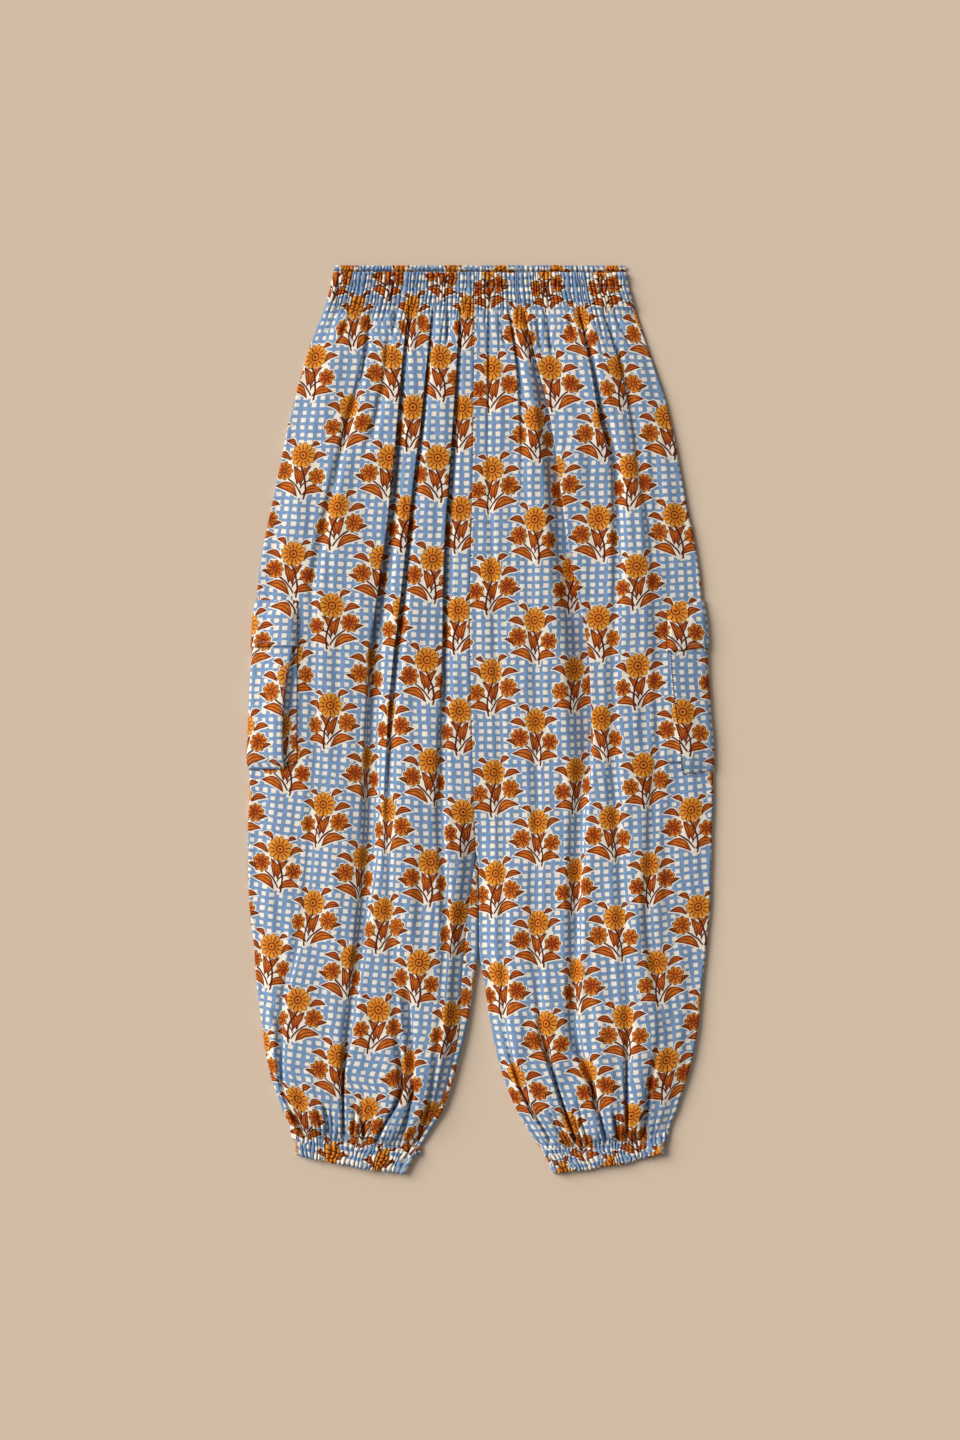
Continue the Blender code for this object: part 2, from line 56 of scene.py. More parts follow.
MM = 0.001
BODY = "root"
COTTON_SLOT = "printed_cotton"
CASING_SLOT = "gathered_casing"
CLOTH_UV = "cloth"
UV_PER_MM = 0.01               # the UV map counts in steps of 100 mm

LEGS = ("left", "right")
INWARD = {"left": 1, "right": -1}

# ------------------------------------------------------------ sizes shared with the solids

WAIST_SEAM = 456.0
FRONT_WAIST = 490.6
BACK_WAIST = 498.8
CROTCH = -150.0
SEAM = 0.3                     # space between two pieces at a seam
ON_SURFACE = 0.45              # middle of the back panels above the floor
VALLEY = 1.9                   # middle of the front panel where it lies on the back one
LAP = 4.0                      # how far a leg runs on under its casings
LAP_SINK = 0.5                 # how deep a lapped edge lies under the other cloth
SIDE_ROLL = 2.5                # width of the cloth that turns down at a leg's side
SIDE_FOOT = 1.3                # about where that cloth meets the back panel
LOWEST_FOOT = 0.75             # and the lowest that it comes
CROWN_LIFT = 1.3               # the visible crowns stand a little above the plain solids
SEAM_RISE = 0.86               # height of the middle seam, as a share of the crown
SIDE_RISE = 0.36               # the same for a leg's side
LOWER_SEAM = 0.55              # how much lower the seam is on the inside of a leg
SETTLING = 6                   # rounds in which the rows settle to the slanting cuff
SEAM_X = -5.2                  # where the middle seam would be if it didn't stray

SECTION_COLUMNS = ("height", "left_side", "left_seam", "left_inner", "right_inner",
                   "right_side", "crown")
SECTION_ROWS = (
    (474.7, -165.0, -5.3, -5.3, -5.0, 163.6, 6.4),
    (456, -170.0, -5.3, -5.3, -5.0, 169.0, 6.4),
    (411, -187.0, -5.3, -5.3, -5.0, 183.5, 9.5),
    (345, -206.0, -5.3, -5.3, -5.0, 205.5, 11.5),
    (257, -224.7, -5.3, -5.3, -5.0, 223.0, 12.5),
    (147, -244.5, -5.3, -5.3, -5.0, 242.8, 12.5),
    (15, -251.0, -5.3, -5.3, -5.0, 251.0, 12.5),
    (-73, -253.5, -5.3, -5.3, -5.0, 256.0, 12.5),
    (-140, -255.5, -5.3, -5.3, -5.0, 254.5, 12.5),
    (-163, -255.5, -7.2, -2.2, -1.8, 253.8, 12.5),
    (-204, -254.0, -12.4, -2.1, -1.7, 253.0, 12.5),
    (-249, -249.0, -17.0, -2.0, -1.4, 248.5, 12.5),
    (-293, -245.6, -20.6, -7.5, 5.2, 244.0, 13.0),
    (-337, -240.0, -22.0, -14.6, 11.8, 239.5, 14.0),
    (-381, -233.5, -31.0, -25.6, 21.7, 230.7, 14.5),
    (-425, -219.0, -44.5, -38.8, 38.2, 217.5, 13.5),
    (-447, -210.4, -57.5, -52.0, 50.3, 209.0, 11.5),
    (-476, -204.5, -75.0, -69.6, 70.1, 204.5, 7.4),
)
Cuff = namedtuple("Cuff", "side_top side_bottom middle_top middle_bottom")
CUFFS = {
    "left": Cuff((-204.8, -457.0), (-202.7, -478.0), (-69.6, -474.7), (-81.7, -498.8)),
    "right": Cuff((204.3, -459.3), (202.1, -476.5), (70.1, -475.8), (80.0, -498.8)),
}
CUFF_BELLY = 2.0
BAND_END_ROWS = ((456, -170.0, 169.0), (474.7, -165.0, 163.6), (498.8, -159.5, 159.2))

# Width of the cloth in each leg's front or back, before it is gathered
CLOTH_WIDTHS = ((-500, 236), (-420, 246), (-350, 264), (-250, 288), (-150, 303), (0, 312),
                (147, 306), (300, 290), (456, 272), (500, 272))

# ------------------------------------------------------------ creases of the legs

# Each long crease is the floor of a pleat. ridge is how high the cloth stands between it
# and the line before it, as a share of the crown. x is its place and depth how far it goes
# down (1 lies on the back panel), both at CREASE_HEIGHTS. width is that of its soft side and
# lean says where the pleat's sharp edge is: 1 on its left, -1 on its right, 0 neither.
CREASE_HEIGHTS = (-460, -400, -330, -220, -110, -20, 60, 130, 200, 270, 330, 390, 456)
Crease = namedtuple("Crease", "name ridge x depth width lean")
CREASES = {
    "left": (
        Crease("side", 0.78,
               (-192, -218, -218, -195, -183, -181, -184, -184, -174, -158, -144, -128, -119),
               (0.8, 0.7, 0.4, 0.08, 0.08, 0.08, 0.1, 0.2, 0.32, 0.36, 0.34, 0.32, 0.45),
               (6, 9, 13, 16, 16, 16, 16, 16, 16, 15, 13, 10, 6),
               (-0.2, -0.3, -0.3, 0, 0, 0, 0, 0, 0.1, 0.2, 0.2, 0.4, 0.8)),
        Crease("outer", 1.0,
               (-150, -151, -143, -129, -120, -120, -120, -112, -102, -94.5, -89, -84, -77),
               (0.9, 0.85, 0.3, 0.42, 0.5, 0.62, 0.8, 0.9, 0.95, 1, 1, 0.95, 0.85),
               (4, 5, 14, 20, 26, 25, 21, 17, 14, 12, 10, 8, 6),
               (0.1, 0.1, 0.1, 0.1, 0.1, 0.3, 0.8, 1, 1, 1, 1, 1, 1)),
        Crease("centre", 0.92,
               (-113, -86, -92, -98, -101.5, -100.5, -94.3, -86, -78.4, -70.7, -63, -57, -51),
               (0.9, 0.6, 0.12, 0.12, 0.2, 0.55, 0.85, 0.9, 0.9, 0.9, 0.95, 0.9, 0.85),
               (5, 7, 14, 18, 16, 12, 11, 10, 9.5, 9, 8, 7, 6),
               (-0.3, -0.3, 0, 0, 0.3, 1, 1, 1, 1, 1, 1, 1, 1)),
        Crease("inner", 1.03,
               (-66, -52, -44, -38, -43, -42, -40, -39.3, -37.1, -32.2, -28, -24, -21),
               (0.8, 0.35, 0.12, 0.3, 0.35, 0.4, 0.6, 0.8, 0.9, 0.95, 0.95, 0.9, 0.85),
               (5, 9, 13, 16, 16, 15, 13, 11, 10.5, 10, 9, 7.5, 6),
               (-0.2, -0.2, 0, 0, 0, 0.3, 0.9, 1, 1, 1, 1, 1, 1)),
    ),
    "right": (
        Crease("side", 0.56,
               (179.5, 186, 198, 184, 188, 195, 194.5, 192, 186.5, 176, 167, 154, 132),
               (0.9, 0.4, 0.08, 0.18, 0.18, 0.1, 0.1, 0.1, 0.15, 0.2, 0.3, 0.55, 0.7),
               (5, 8, 14, 18, 18, 16, 16, 16, 16, 15, 14, 9, 6),
               (0.2, 0.2, 0, 0, 0, 0, 0, 0.1, 0.2, 0.3, 0.6, 1, 1)),
        Crease("outer", 1.0,
               (161, 160, 162, 156, 150, 145, 146, 149, 151, 148, 132.5, 122, 107),
               (0.95, 0.75, 0.12, 0.12, 0.18, 0.18, 0.15, 0.2, 0.3, 0.5, 0.9, 0.9, 0.85),
               (5, 6, 16, 20, 20, 20, 20, 20, 20, 18, 13, 9, 6),
               (0.2, 0.2, 0, 0, 0, 0, 0, 0, 0.1, 0.4, 1, 1, 1)),
        Crease("centre", 1.04,
               (138, 122, 103, 105, 110, 120, 118, 106, 93, 84, 75, 60.5, 45),
               (0.9, 0.5, 0.5, 0.5, 0.5, 0.75, 1, 1, 1, 1, 1, 0.95, 0.85),
               (6, 10, 18, 22, 26, 30, 32, 28, 21, 18, 15, 9, 5),
               (-0.2, -0.2, -0.3, -0.2, -0.3, -0.8, -1, -1, -1, -1, -1, -1, -1)),
        Crease("inner", 0.98,
               (103.5, 83, 66, 60, 62, 62, 60, 56, 52, 47, 45, 40.5, 31),
               (0.95, 0.85, 0.2, 0.15, 0.12, 0.15, 0.15, 0.12, 0.12, 0.15, 0.25, 0.6, 0.8),
               (4.5, 5.5, 14, 20, 20, 20, 20, 18, 16, 14, 12, 8, 6),
               (0.3, 0.3, 0, 0, 0, 0, 0, 0, 0, 0.4, 0.8, 1, 1)),
        Crease("middle", 0.9,
               (75, 42, 27, 24, 23, 21, 18, 15, 12, 9.5, 8.5, 9, 9.5),
               (0.9, 0.7, 0.3, 0.15, 0.1, 0.1, 0.1, 0.1, 0.1, 0.1, 0.12, 0.35, 0.75),
               (5, 6, 12, 16, 16, 14, 14, 12, 10, 8, 7, 6, 5),
               (0.3, 0.3, 0, 0, 0, 0, 0, 0, 0, 0.4, 0.8, 1, 1)),
    ),
}
MIDDLE_RIDGE = 0.88            # the ridge between the last crease and the middle
HARD_SIDE = 2.0                # width of a pleat's sharp side
TUCK = 3.6                     # how far the sharp side goes back under the pleat

# Short creases, as (x, y) where each begins and ends, its depth as a share, its width
# and its lean
ShortCrease = namedtuple("ShortCrease", "start end depth width lean")
SHORT_CREASES = {
    "left": (
        ShortCrease((-92, 456), (-97, 424), 0.7, 3.2, 0.6),
        ShortCrease((-36, 462), (-38, 410), 0.75, 3.4, 0.6),
        ShortCrease((-102, 424), (-107, 366), 0.28, 7, 0.3),
        ShortCrease((-155, 456), (-171, 420), 0.5, 5, 0.4),
        ShortCrease((-142, 452), (-158, 408), 0.45, 5, 0.4),
        ShortCrease((-124, 430), (-133, 366), 0.45, 5, 0.5),
        ShortCrease((-102, 384), (-128, 286), 0.3, 13, 0.2),
        ShortCrease((-128, -440), (-129, -466), 0.8, 4, 0),
        ShortCrease((-172, -420), (-166, -462), 0.5, 6, 0.3),
        ShortCrease((-203, -432), (-192, -464), 0.8, 4.5, 0),
        ShortCrease((-81, -288), (-73, -418), 0.6, 13, -0.8),
        ShortCrease((-72, -396), (-89, -470), 0.8, 6, -0.4),
        ShortCrease((-235, -300), (-214, -352), 0.2, 16, 0),
        ShortCrease((-225, -150), (-222, -260), 0.1, 20, 0),
        ShortCrease((-70, -140), (-66, -270), 0.1, 22, 0),
        ShortCrease((-160, 90), (-158, -60), 0.1, 20, 0),
    ),
    "right": (
        ShortCrease((71, 462), (80, 392), 0.8, 3.4, 0.7),
        ShortCrease((62, 446), (68, 398), 0.5, 3.4, 0.5),
        ShortCrease((21, 440), (28, 404), 0.45, 3.5, 0.5),
        ShortCrease((143, 456), (168, 404), 0.7, 3.6, 0.6),
        ShortCrease((92, 456), (104, 420), 0.5, 4, 0.5),
        ShortCrease((121, -388), (126, -430), 0.6, 6, 0.3),
        ShortCrease((146, -430), (154, -474), 0.8, 4, 0.3),
        ShortCrease((192, -452), (198, -472), 0.6, 4, 0.3),
        ShortCrease((96, -300), (132, -330), 0.25, 14, 0),
        ShortCrease((180, 84), (182, -50), 0.1, 18, 0),
        ShortCrease((205, -120), (214, -260), 0.1, 20, 0),
    ),
}

# ------------------------------------------------------------ casings and pockets

WAIST_GATHERS = 86
CUFF_GATHERS = 30
WAIST_LEVEL = 5.8              # middle height of the front casing's gathers
CUFF_LEVEL = 6.4
CUFF_WAVE = 1.7                # half height of a cuff's gathers
CASING_ROLL = 4.0              # width of a casing's rounded end
PINCH_LINE = 474.7             # the line of stitches that pinches the front casing

# Rows of the front casing: half height of its gathers and lift of the row
BAND_ROWS = ((450, 1.6, 0.4), (456, 1.8, 0.4), (462, 2.0, 0.5), (468, 2.0, 0.5),
             (472.5, 1.7, 0.0), (PINCH_LINE, 1.4, -0.8), (477, 1.7, -0.1), (482, 2.0, 0.5),
             (487, 1.9, 0.4), (FRONT_WAIST, 1.6, 0.0))

# How far from its edges, its waist seam and its cuff a leg's cloth reaches its full form
EDGE_EASE = 16
WAIST_EASE = 16
CUFF_EASE = 14

GROOVE = 0.9                   # depth of the groove along the middle seam
GROOVE_HALF = 2.6              # half its width
GROOVE_FADE = 24               # it fades out this far below the waist seam

# How far the middle seam strays from its line, at heights
SEAM_SWAY = ((-130, 0.0), (-67, -2.4), (0, -4.2), (60, -5.6), (120, -6.0), (180, -5.0),
             (240, -3.6), (306, -2.5), (373, -1.6), (456, -0.8), (500, -0.6))

# x of a pocket's free edge, and how far its face stands off the leg at the side and there
POCKET_COLUMNS = ("height", "edge", "side", "front")
POCKETS = {
    "left": ((110, -203.5, 1.9, 4.4), (78, -205.5, 2.4, 5.6), (45, -211.5, 3.0, 7.4),
             (15, -214.8, 3.6, 8.4), (-12, -216.4, 4.2, 8.4), (-32, -215.5, 4.6, 7.0),
             (-57, -213.7, 4.0, 4.6)),
    "right": ((110, 206.5, 1.7, 3.6), (78, 208.0, 1.9, 3.9), (45, 210.0, 2.0, 4.4),
              (15, 213.3, 2.1, 4.6), (-12, 217.0, 2.2, 4.6), (-32, 219.2, 2.2, 4.4),
              (-60, 221.9, 2.0, 3.6)),
}

# x of a pocket's stitched line, and heights of its other lines at the side and at the front
PocketLines = namedtuple("PocketLines", "stitch flap_top flap_bottom face_bottom")
POCKET_LINES = {
    "left": PocketLines(-201.0, (131.0, 130.4), (79.5, 79.8), (-54.5, -54.5)),
    "right": PocketLines(204.6, (131.5, 119.4), (78.7, 74.3), (-55.6, -59.9)),
}
FACE_TOP = 97.0
GUSSET_BOTTOM = -47.0
UNDER_EDGE = 1.2               # how far the face runs over the gusset
LAID_ON = 1.5                  # middle of a pocket piece that lies on the panel
FLAP_CLEAR = 1.7               # how far the flap's middle is from the face's
POCKET_ZONE = 150              # pockets lie farther than this from the middle
FACE_POINTS = (60, 44)         # points of a pocket's face down and across
GUSSET_POINTS = (50, 16)
FLAP_POINTS = (30, 46)
EDGE_TURN = (0.25, 0.7)        # how the face's free edge turns down in its last points
FACE_FOOT = 1.2                # where the face's closed lower edge comes down to


# ------------------------------------------------------------ small mathematics

def blend(a, b, share):
    return a + (b - a) * share


def ease(t):
    """0 below 0, 1 above 1, and a soft step between."""
    t = np.clip(t, 0, 1)
    return t * t * (3 - 2 * t)


def steady_curve(xs, ys, x):
    """Monotone cubic through the points xs, ys, read at x."""
    xs, ys = np.asarray(xs, float), np.asarray(ys, float)
    slope = np.diff(ys) / np.diff(xs)
    before, after = slope[:-1], slope[1:]
    same = before * after > 0
    inner = np.where(same, 2 * before * after / np.where(same, before + after, 1), 0)
    tangent = np.concatenate((slope[:1], inner, slope[-1:]))
    x = np.clip(x, xs[0], xs[-1])
    i = np.clip(np.searchsorted(xs, x, side="right") - 1, 0, len(xs) - 2)
    span = xs[i + 1] - xs[i]
    t = (x - xs[i]) / span
    return ((2 * t**3 - 3 * t**2 + 1) * ys[i] + (t**3 - 2 * t**2 + t) * span * tangent[i]
            + (3 * t**2 - 2 * t**3) * ys[i + 1] + (t**3 - t**2) * span * tangent[i + 1])


def run_length(x, z):
    """Length along each row of points, from its first one."""
    steps = np.hypot(np.diff(x), np.diff(z))
    return np.concatenate((np.zeros_like(steps[..., :1]), np.cumsum(steps, -1)), -1)


class Table:
    """Rows with named columns, read at any height."""

    def __init__(self, names, rows):
        rows = sorted(rows)
        self.heights = [row[0] for row in rows]
        self.columns = {name: [row[i] for row in rows] for i, name in enumerate(names)}

    def at(self, name, height):
        return steady_curve(self.heights, self.columns[name], height)


SECTIONS = Table(SECTION_COLUMNS, SECTION_ROWS)
BAND_ENDS = Table(("height", "left", "right"), BAND_END_ROWS)
BAND = Table(("height", "wave", "lift"), BAND_ROWS)
CLOTH_WIDTH = Table(("height", "width"), CLOTH_WIDTHS)
SWAY = Table(("height", "shift"), SEAM_SWAY)
POCKET_TABLES = {leg: Table(POCKET_COLUMNS, rows) for leg, rows in POCKETS.items()}


class Noise:
    """Smooth seeded noise of two lengths, from about -1 to 1."""
    SIZE = 64

    def __init__(self, seed):
        self.grid = np.random.default_rng(seed).uniform(-1, 1, (self.SIZE, self.SIZE))

    def at(self, u, v):
        u, v = np.broadcast_arrays(u, v)
        i, j = np.floor(u).astype(int), np.floor(v).astype(int)
        a, b = ease(u - i), ease(v - j)
        corner = [[self.grid[(i + p) % self.SIZE, (j + q) % self.SIZE] for q in (0, 1)]
                  for p in (0, 1)]
        return blend(blend(corner[0][0], corner[0][1], b),
                     blend(corner[1][0], corner[1][1], b), a)


class Gathers:
    """Troughs along a casing, unevenly spaced and deep, and how far each runs from it."""

    def __init__(self, count, seed, shortest, longest):
        random = np.random.default_rng(seed)
        widths = random.uniform(0.5, 1.5, count)
        edges = np.concatenate(([0], np.cumsum(widths))) / widths.sum()
        self.places = edges
        self.tall = random.uniform(0.5, 1.0, count + 1)
        self.reach = blend(shortest, longest, random.uniform(0, 1, count + 1) ** 2)

    def cloth(self, share):
        """Share of the gathered cloth taken up so far, more of it in the troughs."""
        along = np.linspace(0, 1, 40 * len(self.places))
        taken = np.concatenate(([0], np.cumsum(0.55 + 2.2 * self.read(along)[0][1:])))
        return np.interp(share, along, taken / taken[-1])

    def read(self, share):
        """At each share of the way along: nearness to a trough (1 in it), and its number."""
        after = np.clip(np.searchsorted(self.places, share), 1, len(self.places) - 1)
        low, high = self.places[after - 1], self.places[after]
        part = np.clip((share - low) / (high - low), 0, 1)
        trough = np.where(part < 0.5, after - 1, after)
        return np.abs(np.cos(np.pi * part)) ** 3.5, trough

    def lift(self, share):
        """From -1 in a trough to 1 on the gather beside it."""
        near, trough = self.read(share)
        return (1 - 2 * near) * self.tall[trough]

    def fading(self, share, distance):
        """Depth of the troughs at a distance from the casing."""
        near, trough = self.read(share)
        return near * self.tall[trough] * ease(1 - distance / self.reach[trough])


WAIST_FOLDS = Gathers(WAIST_GATHERS, 11, 14, 88)
CUFF_FOLDS = {"left": Gathers(CUFF_GATHERS, 5, 14, 75),
              "right": Gathers(CUFF_GATHERS, 8, 14, 75)}


# ------------------------------------------------------------ the legs' front panels

def cuff_line(leg, x):
    """Height of the seam between a leg and its cuff, at x."""
    cuff = CUFFS[leg]
    (x0, y0), (x1, y1) = cuff.side_top, cuff.middle_top
    share = (x - x0) / (x1 - x0)
    return blend(y0, y1, share) - CUFF_BELLY * 4 * share * (1 - share)


def band_height(share, height):
    """Height above the floor of the front casing at a share of the way across it."""
    return (WAIST_LEVEL + BAND.at("lift", height)
            + BAND.at("wave", height) * WAIST_FOLDS.lift(share))


def cuff_share(leg, x):
    """Share of the way along a cuff's seam, from the side."""
    (x0, _), (x1, _) = CUFFS[leg].side_top, CUFFS[leg].middle_top
    return np.clip((x - x0) / (x1 - x0), 0, 1)


def cuff_height(leg, share):
    """Height above the floor of a cuff's top at its seam."""
    return CUFF_LEVEL - 0.5 + CUFF_WAVE * CUFF_FOLDS[leg].lift(share)


def row_shares(count):
    """Shares of the way down a leg, closer together near the waist and the cuff."""
    steps = np.linspace(0, 1, count)
    spacing = 0.35 + np.minimum(1, np.minimum(steps / 0.16, (1 - steps) / 0.2)) ** 1.3
    shares = np.concatenate(([0], np.cumsum((spacing[1:] + spacing[:-1]) / 2)))
    return shares / shares[-1]


def inner_turn(height):
    """0 above the crotch, 1 below it, where the inner leg edge turns down."""
    return ease((CROTCH + 8 - height) / 26)


def crease_read(crease, name, height):
    """One measure of a long crease, at heights."""
    return steady_curve(CREASE_HEIGHTS, getattr(crease, name), height)


def leg_lines(leg, height):
    """x of the side edge, of each crease's line and of the inner edge, at heights."""
    inward = INWARD[leg]
    side = SECTIONS.at(leg + "_side", height) + inward * 0.3
    edge = SECTIONS.at("left_seam" if leg == "left" else "right_inner", height)
    edge = edge - inward * 0.1 + SWAY.at("shift", height)
    lines = [side + inward * SIDE_ROLL]
    lines += [crease_read(crease, "x", height) for crease in CREASES[leg]]
    last = edge - (0 if leg == "left" else inward * SIDE_ROLL)
    lines.append(last)
    return side, edge, lines


ROLL_STEPS = 9
ROLL_START = math.radians(-22)
INTERVAL_STEPS = {"left": (40, 52, 34, 46, 34), "right": (36, 36, 42, 46, 32, 18)}
AT_SIDE, AT_INNER = -1, -2     # stand in an interval's place where the cloth turns down
EVEN_SHARE = 0.0012            # how much of the spare cloth is hidden outside the pleats
WAIST_PRINT = 70               # how far from a casing the print is gathered like its cloth
CUFF_PRINT = 100


def panel_columns(leg):
    """For each column: its interval between lines, and its place in it from 0 to 1."""
    spots = [(AT_SIDE, t) for t in np.linspace(0, 1, ROLL_STEPS, endpoint=False)]
    for i, count in enumerate(INTERVAL_STEPS[leg]):
        steps = np.linspace(0, 1, count, endpoint=False)
        spots += [(i, t) for t in blend(steps, ease(steps), 0.55)]
    if leg == "left":
        spots.append((len(INTERVAL_STEPS[leg]) - 1, 1.0))
    else:
        spots += [(AT_INNER, t) for t in np.linspace(1, 0, ROLL_STEPS + 1)]
    return np.array([spot[0] for spot in spots]), np.array([spot[1] for spot in spots])


def crease_drop(offset, width, lean):
    """Depth across a crease, 1 at its line, for offsets to the right of it."""
    sharp = (1 + lean) / 2
    left = blend(width, HARD_SIDE, sharp)
    right = blend(HARD_SIDE, width, sharp)
    reach = np.where(offset < 0, left, right)
    return 1 - ease(np.abs(offset) / reach)


def ridge_share(leg, interval, t):
    """Height of the pleats' tops across a leg, as a share of the crown."""
    ridges = [crease.ridge for crease in CREASES[leg]]
    ridges = np.array([SIDE_RISE, *ridges, MIDDLE_RIDGE, SEAM_RISE])
    i = interval + 1
    last = len(ridges) - 2
    start = np.where(i == 1, ease(t * 2), ease(t + 0.5))
    end = np.where(i == last, ease((t - 0.5) * 2), ease(t - 0.5))
    before = blend(ridges[np.maximum(i - 1, 0)], ridges[np.minimum(i, last)], start)
    after = blend(ridges[np.minimum(i, last)], ridges[np.minimum(i + 1, last + 1)], end)
    return np.where(t < 0.5, before, after)


def waist_cloth(leg, share, height):
    """Cloth between the middle seam and a share of the way across the gathered waist."""
    low, high = SECTIONS.at("left_side", height), SECTIONS.at("right_side", height)
    seam = (SEAM_X + SWAY.at("shift", height) - low) / (high - low)
    end = 0 if leg == "left" else 1
    middle = WAIST_FOLDS.cloth(seam)
    run = (WAIST_FOLDS.cloth(share) - middle) / (WAIST_FOLDS.cloth(end) - middle)
    return run * CLOTH_WIDTH.at("width", height)


class LegShape:
    """The front of one leg as a grid of points, rows from the waist down and columns
    from the side to the middle, with its cloth coordinates."""

    def __init__(self, leg, rows, crumple):
        self.leg = leg
        self.inward = INWARD[leg]
        self.crumple = crumple
        self.interval, self.t = panel_columns(leg)
        self.shares = row_shares(rows)[:, None]
        self.noise = [Noise(seed + (0 if leg == "left" else 50)) for seed in (1, 2, 3, 4)]
        self.settle()
        self.raise_cloth()
        self.tuck_pleats()
        self.lay_print()

    def place(self, height):
        """x of every point, for its height."""
        side, edge, lines = leg_lines(self.leg, height)
        stack = np.stack(lines)
        i = np.clip(self.interval, 0, len(lines) - 2)[None, :].repeat(height.shape[0], 0)
        start = np.take_along_axis(stack, i[None], 0)[0]
        end = np.take_along_axis(stack, i[None] + 1, 0)[0]
        x = blend(start, end, self.t)
        turn = self.roll_angle()
        roll = self.inward * SIDE_ROLL * (1 - np.cos(turn))
        x = np.where(self.interval == AT_SIDE, side + roll, x)
        return np.where(self.interval == AT_INNER, edge - roll, x)

    def roll_angle(self):
        """Angle of each column where the cloth turns down, 90 degrees at the top."""
        return blend(ROLL_START, math.pi / 2, self.t)

    def settle(self):
        """Find each point's x and height, tilted to the line of the cuff."""
        cuff = CUFFS[self.leg]
        height = blend(WAIST_SEAM, cuff.middle_top[1], self.shares)
        height = np.repeat(height, len(self.t), 1)
        for _ in range(SETTLING):
            x = self.place(height)
            height = blend(WAIST_SEAM + LAP, cuff_line(self.leg, x) - LAP, self.shares)
        self.x, self.y = x, height
        wander = self.noise[3].at(height / 23, 0.5) * 0.7
        near_side = ease(1 - np.abs(x - leg_lines(self.leg, height)[0]) / 30)
        fade = ease(self.shares / 0.05) * ease((1 - self.shares) / 0.05)
        self.x = x + wander * near_side * fade

    def raise_cloth(self):
        """Lift the cloth to its crown, press the creases in and join it to the casings."""
        x, y = self.x, self.y
        edge, lines = leg_lines(self.leg, y)[1:]
        middle = ease(np.minimum(np.abs(x - lines[0]), np.abs(x - lines[-1])) / EDGE_EASE)
        # kept is the share of the height that the creases and gathers leave
        kept = self.pleats(x, y, lines) * self.short_creases(x, y) * self.gathers(x, y)
        broad, ripples = self.crumples(x, y)
        z = VALLEY + (self.crown(x, y, lines) - VALLEY) * kept * (1 + 0.10 * broad * middle)
        z += ripples * middle * ease((z - VALLEY) / 3)
        z = self.join_waist(z, middle)
        z = self.join_cuff(z, middle)
        self.z = self.round_edges(z - self.groove(edge))

    def crown(self, x, y, lines):
        """Height of the cloth before it is creased, lower on the inside of the leg."""
        i = np.where(self.interval == AT_SIDE, 0, self.interval)
        i = np.where(self.interval == AT_INNER, len(lines) - 2, i)
        t = np.where(self.interval == AT_SIDE, 0, np.where(self.interval == AT_INNER, 1, self.t))
        crown = SECTIONS.at("crown", y) * CROWN_LIFT * ridge_share(self.leg, i[None], t[None])
        lower = LOWER_SEAM * ease((CROTCH + 70 - y) / 72)
        return crown * (1 - lower * ease(1 - np.abs(x - lines[-1]) / 20))

    def pleats(self, x, y, lines):
        """What the long creases leave of the cloth's height. Notes what they hide."""
        kept = np.ones_like(x)
        self.hidden = np.zeros_like(x)
        for crease, line in zip(CREASES[self.leg], lines[1:]):
            depth, width, lean = (crease_read(crease, name, y)
                                  for name in ("depth", "width", "lean"))
            offset = x - line
            drop = crease_drop(offset, width, lean)
            kept *= 1 - depth * drop
            wall = np.where(offset * lean < 0, 1, 0.02) * np.abs(lean) + 0.2 * (1 - abs(lean))
            self.hidden += wall * (0.25 + depth) * drop * (1 - drop)
        return kept

    def join_waist(self, z, middle):
        """Bring the cloth to the front casing's gathers, and on under them."""
        above = self.y - WAIST_SEAM
        band = band_height(self.waist_share(self.x, self.y), self.y) - LAP_SINK * above / LAP
        near = blend(middle, 1, ease(1.4 + above / 9))
        return blend(z, band, ease(1 + above / WAIST_EASE) * near)

    def join_cuff(self, z, middle):
        """Bring the cloth to the cuff's gathers, and on under them."""
        above = self.y - cuff_line(self.leg, self.x)
        cuff = cuff_height(self.leg, cuff_share(self.leg, self.x)) + LAP_SINK * above / LAP
        near = blend(middle, 1, ease(1.4 - above / 8))
        return blend(z, cuff, ease(1 - above / CUFF_EASE) * near)

    def groove(self, edge):
        """Depth of the middle seam's groove, which the inside of a leg hasn't."""
        fade = ease((WAIST_SEAM - self.y) / GROOVE_FADE)
        groove = GROOVE * ease(1 - np.abs(self.x - edge) / GROOVE_HALF) * fade
        if self.leg == "left":
            return groove
        return np.where(self.interval == AT_INNER, 0, groove * (1 - inner_turn(self.y)))

    def round_edges(self, z):
        """Carry the panel's height down round its side, and inside the leg too."""
        z = np.where(self.interval == AT_SIDE, self.rolled(z[:, ROLL_STEPS][:, None]), z)
        if self.leg == "right":
            top = z[:, len(self.t) - ROLL_STEPS - 2][:, None]
            fade = ease((WAIST_SEAM - self.y[:, :1]) / GROOVE_FADE)
            flat = top - GROOVE * ease(1 - self.t * 3) * fade
            inner = blend(flat, self.rolled(top), inner_turn(self.y))
            z = np.where(self.interval == AT_INNER, inner, z)
        return z

    def rolled(self, top):
        """Heights of cloth that turns down from a top to its foot."""
        rolled = SIDE_FOOT + (top - SIDE_FOOT) * (np.sin(self.roll_angle()) + 0.30) / 1.30
        return np.maximum(rolled, LOWEST_FOOT)

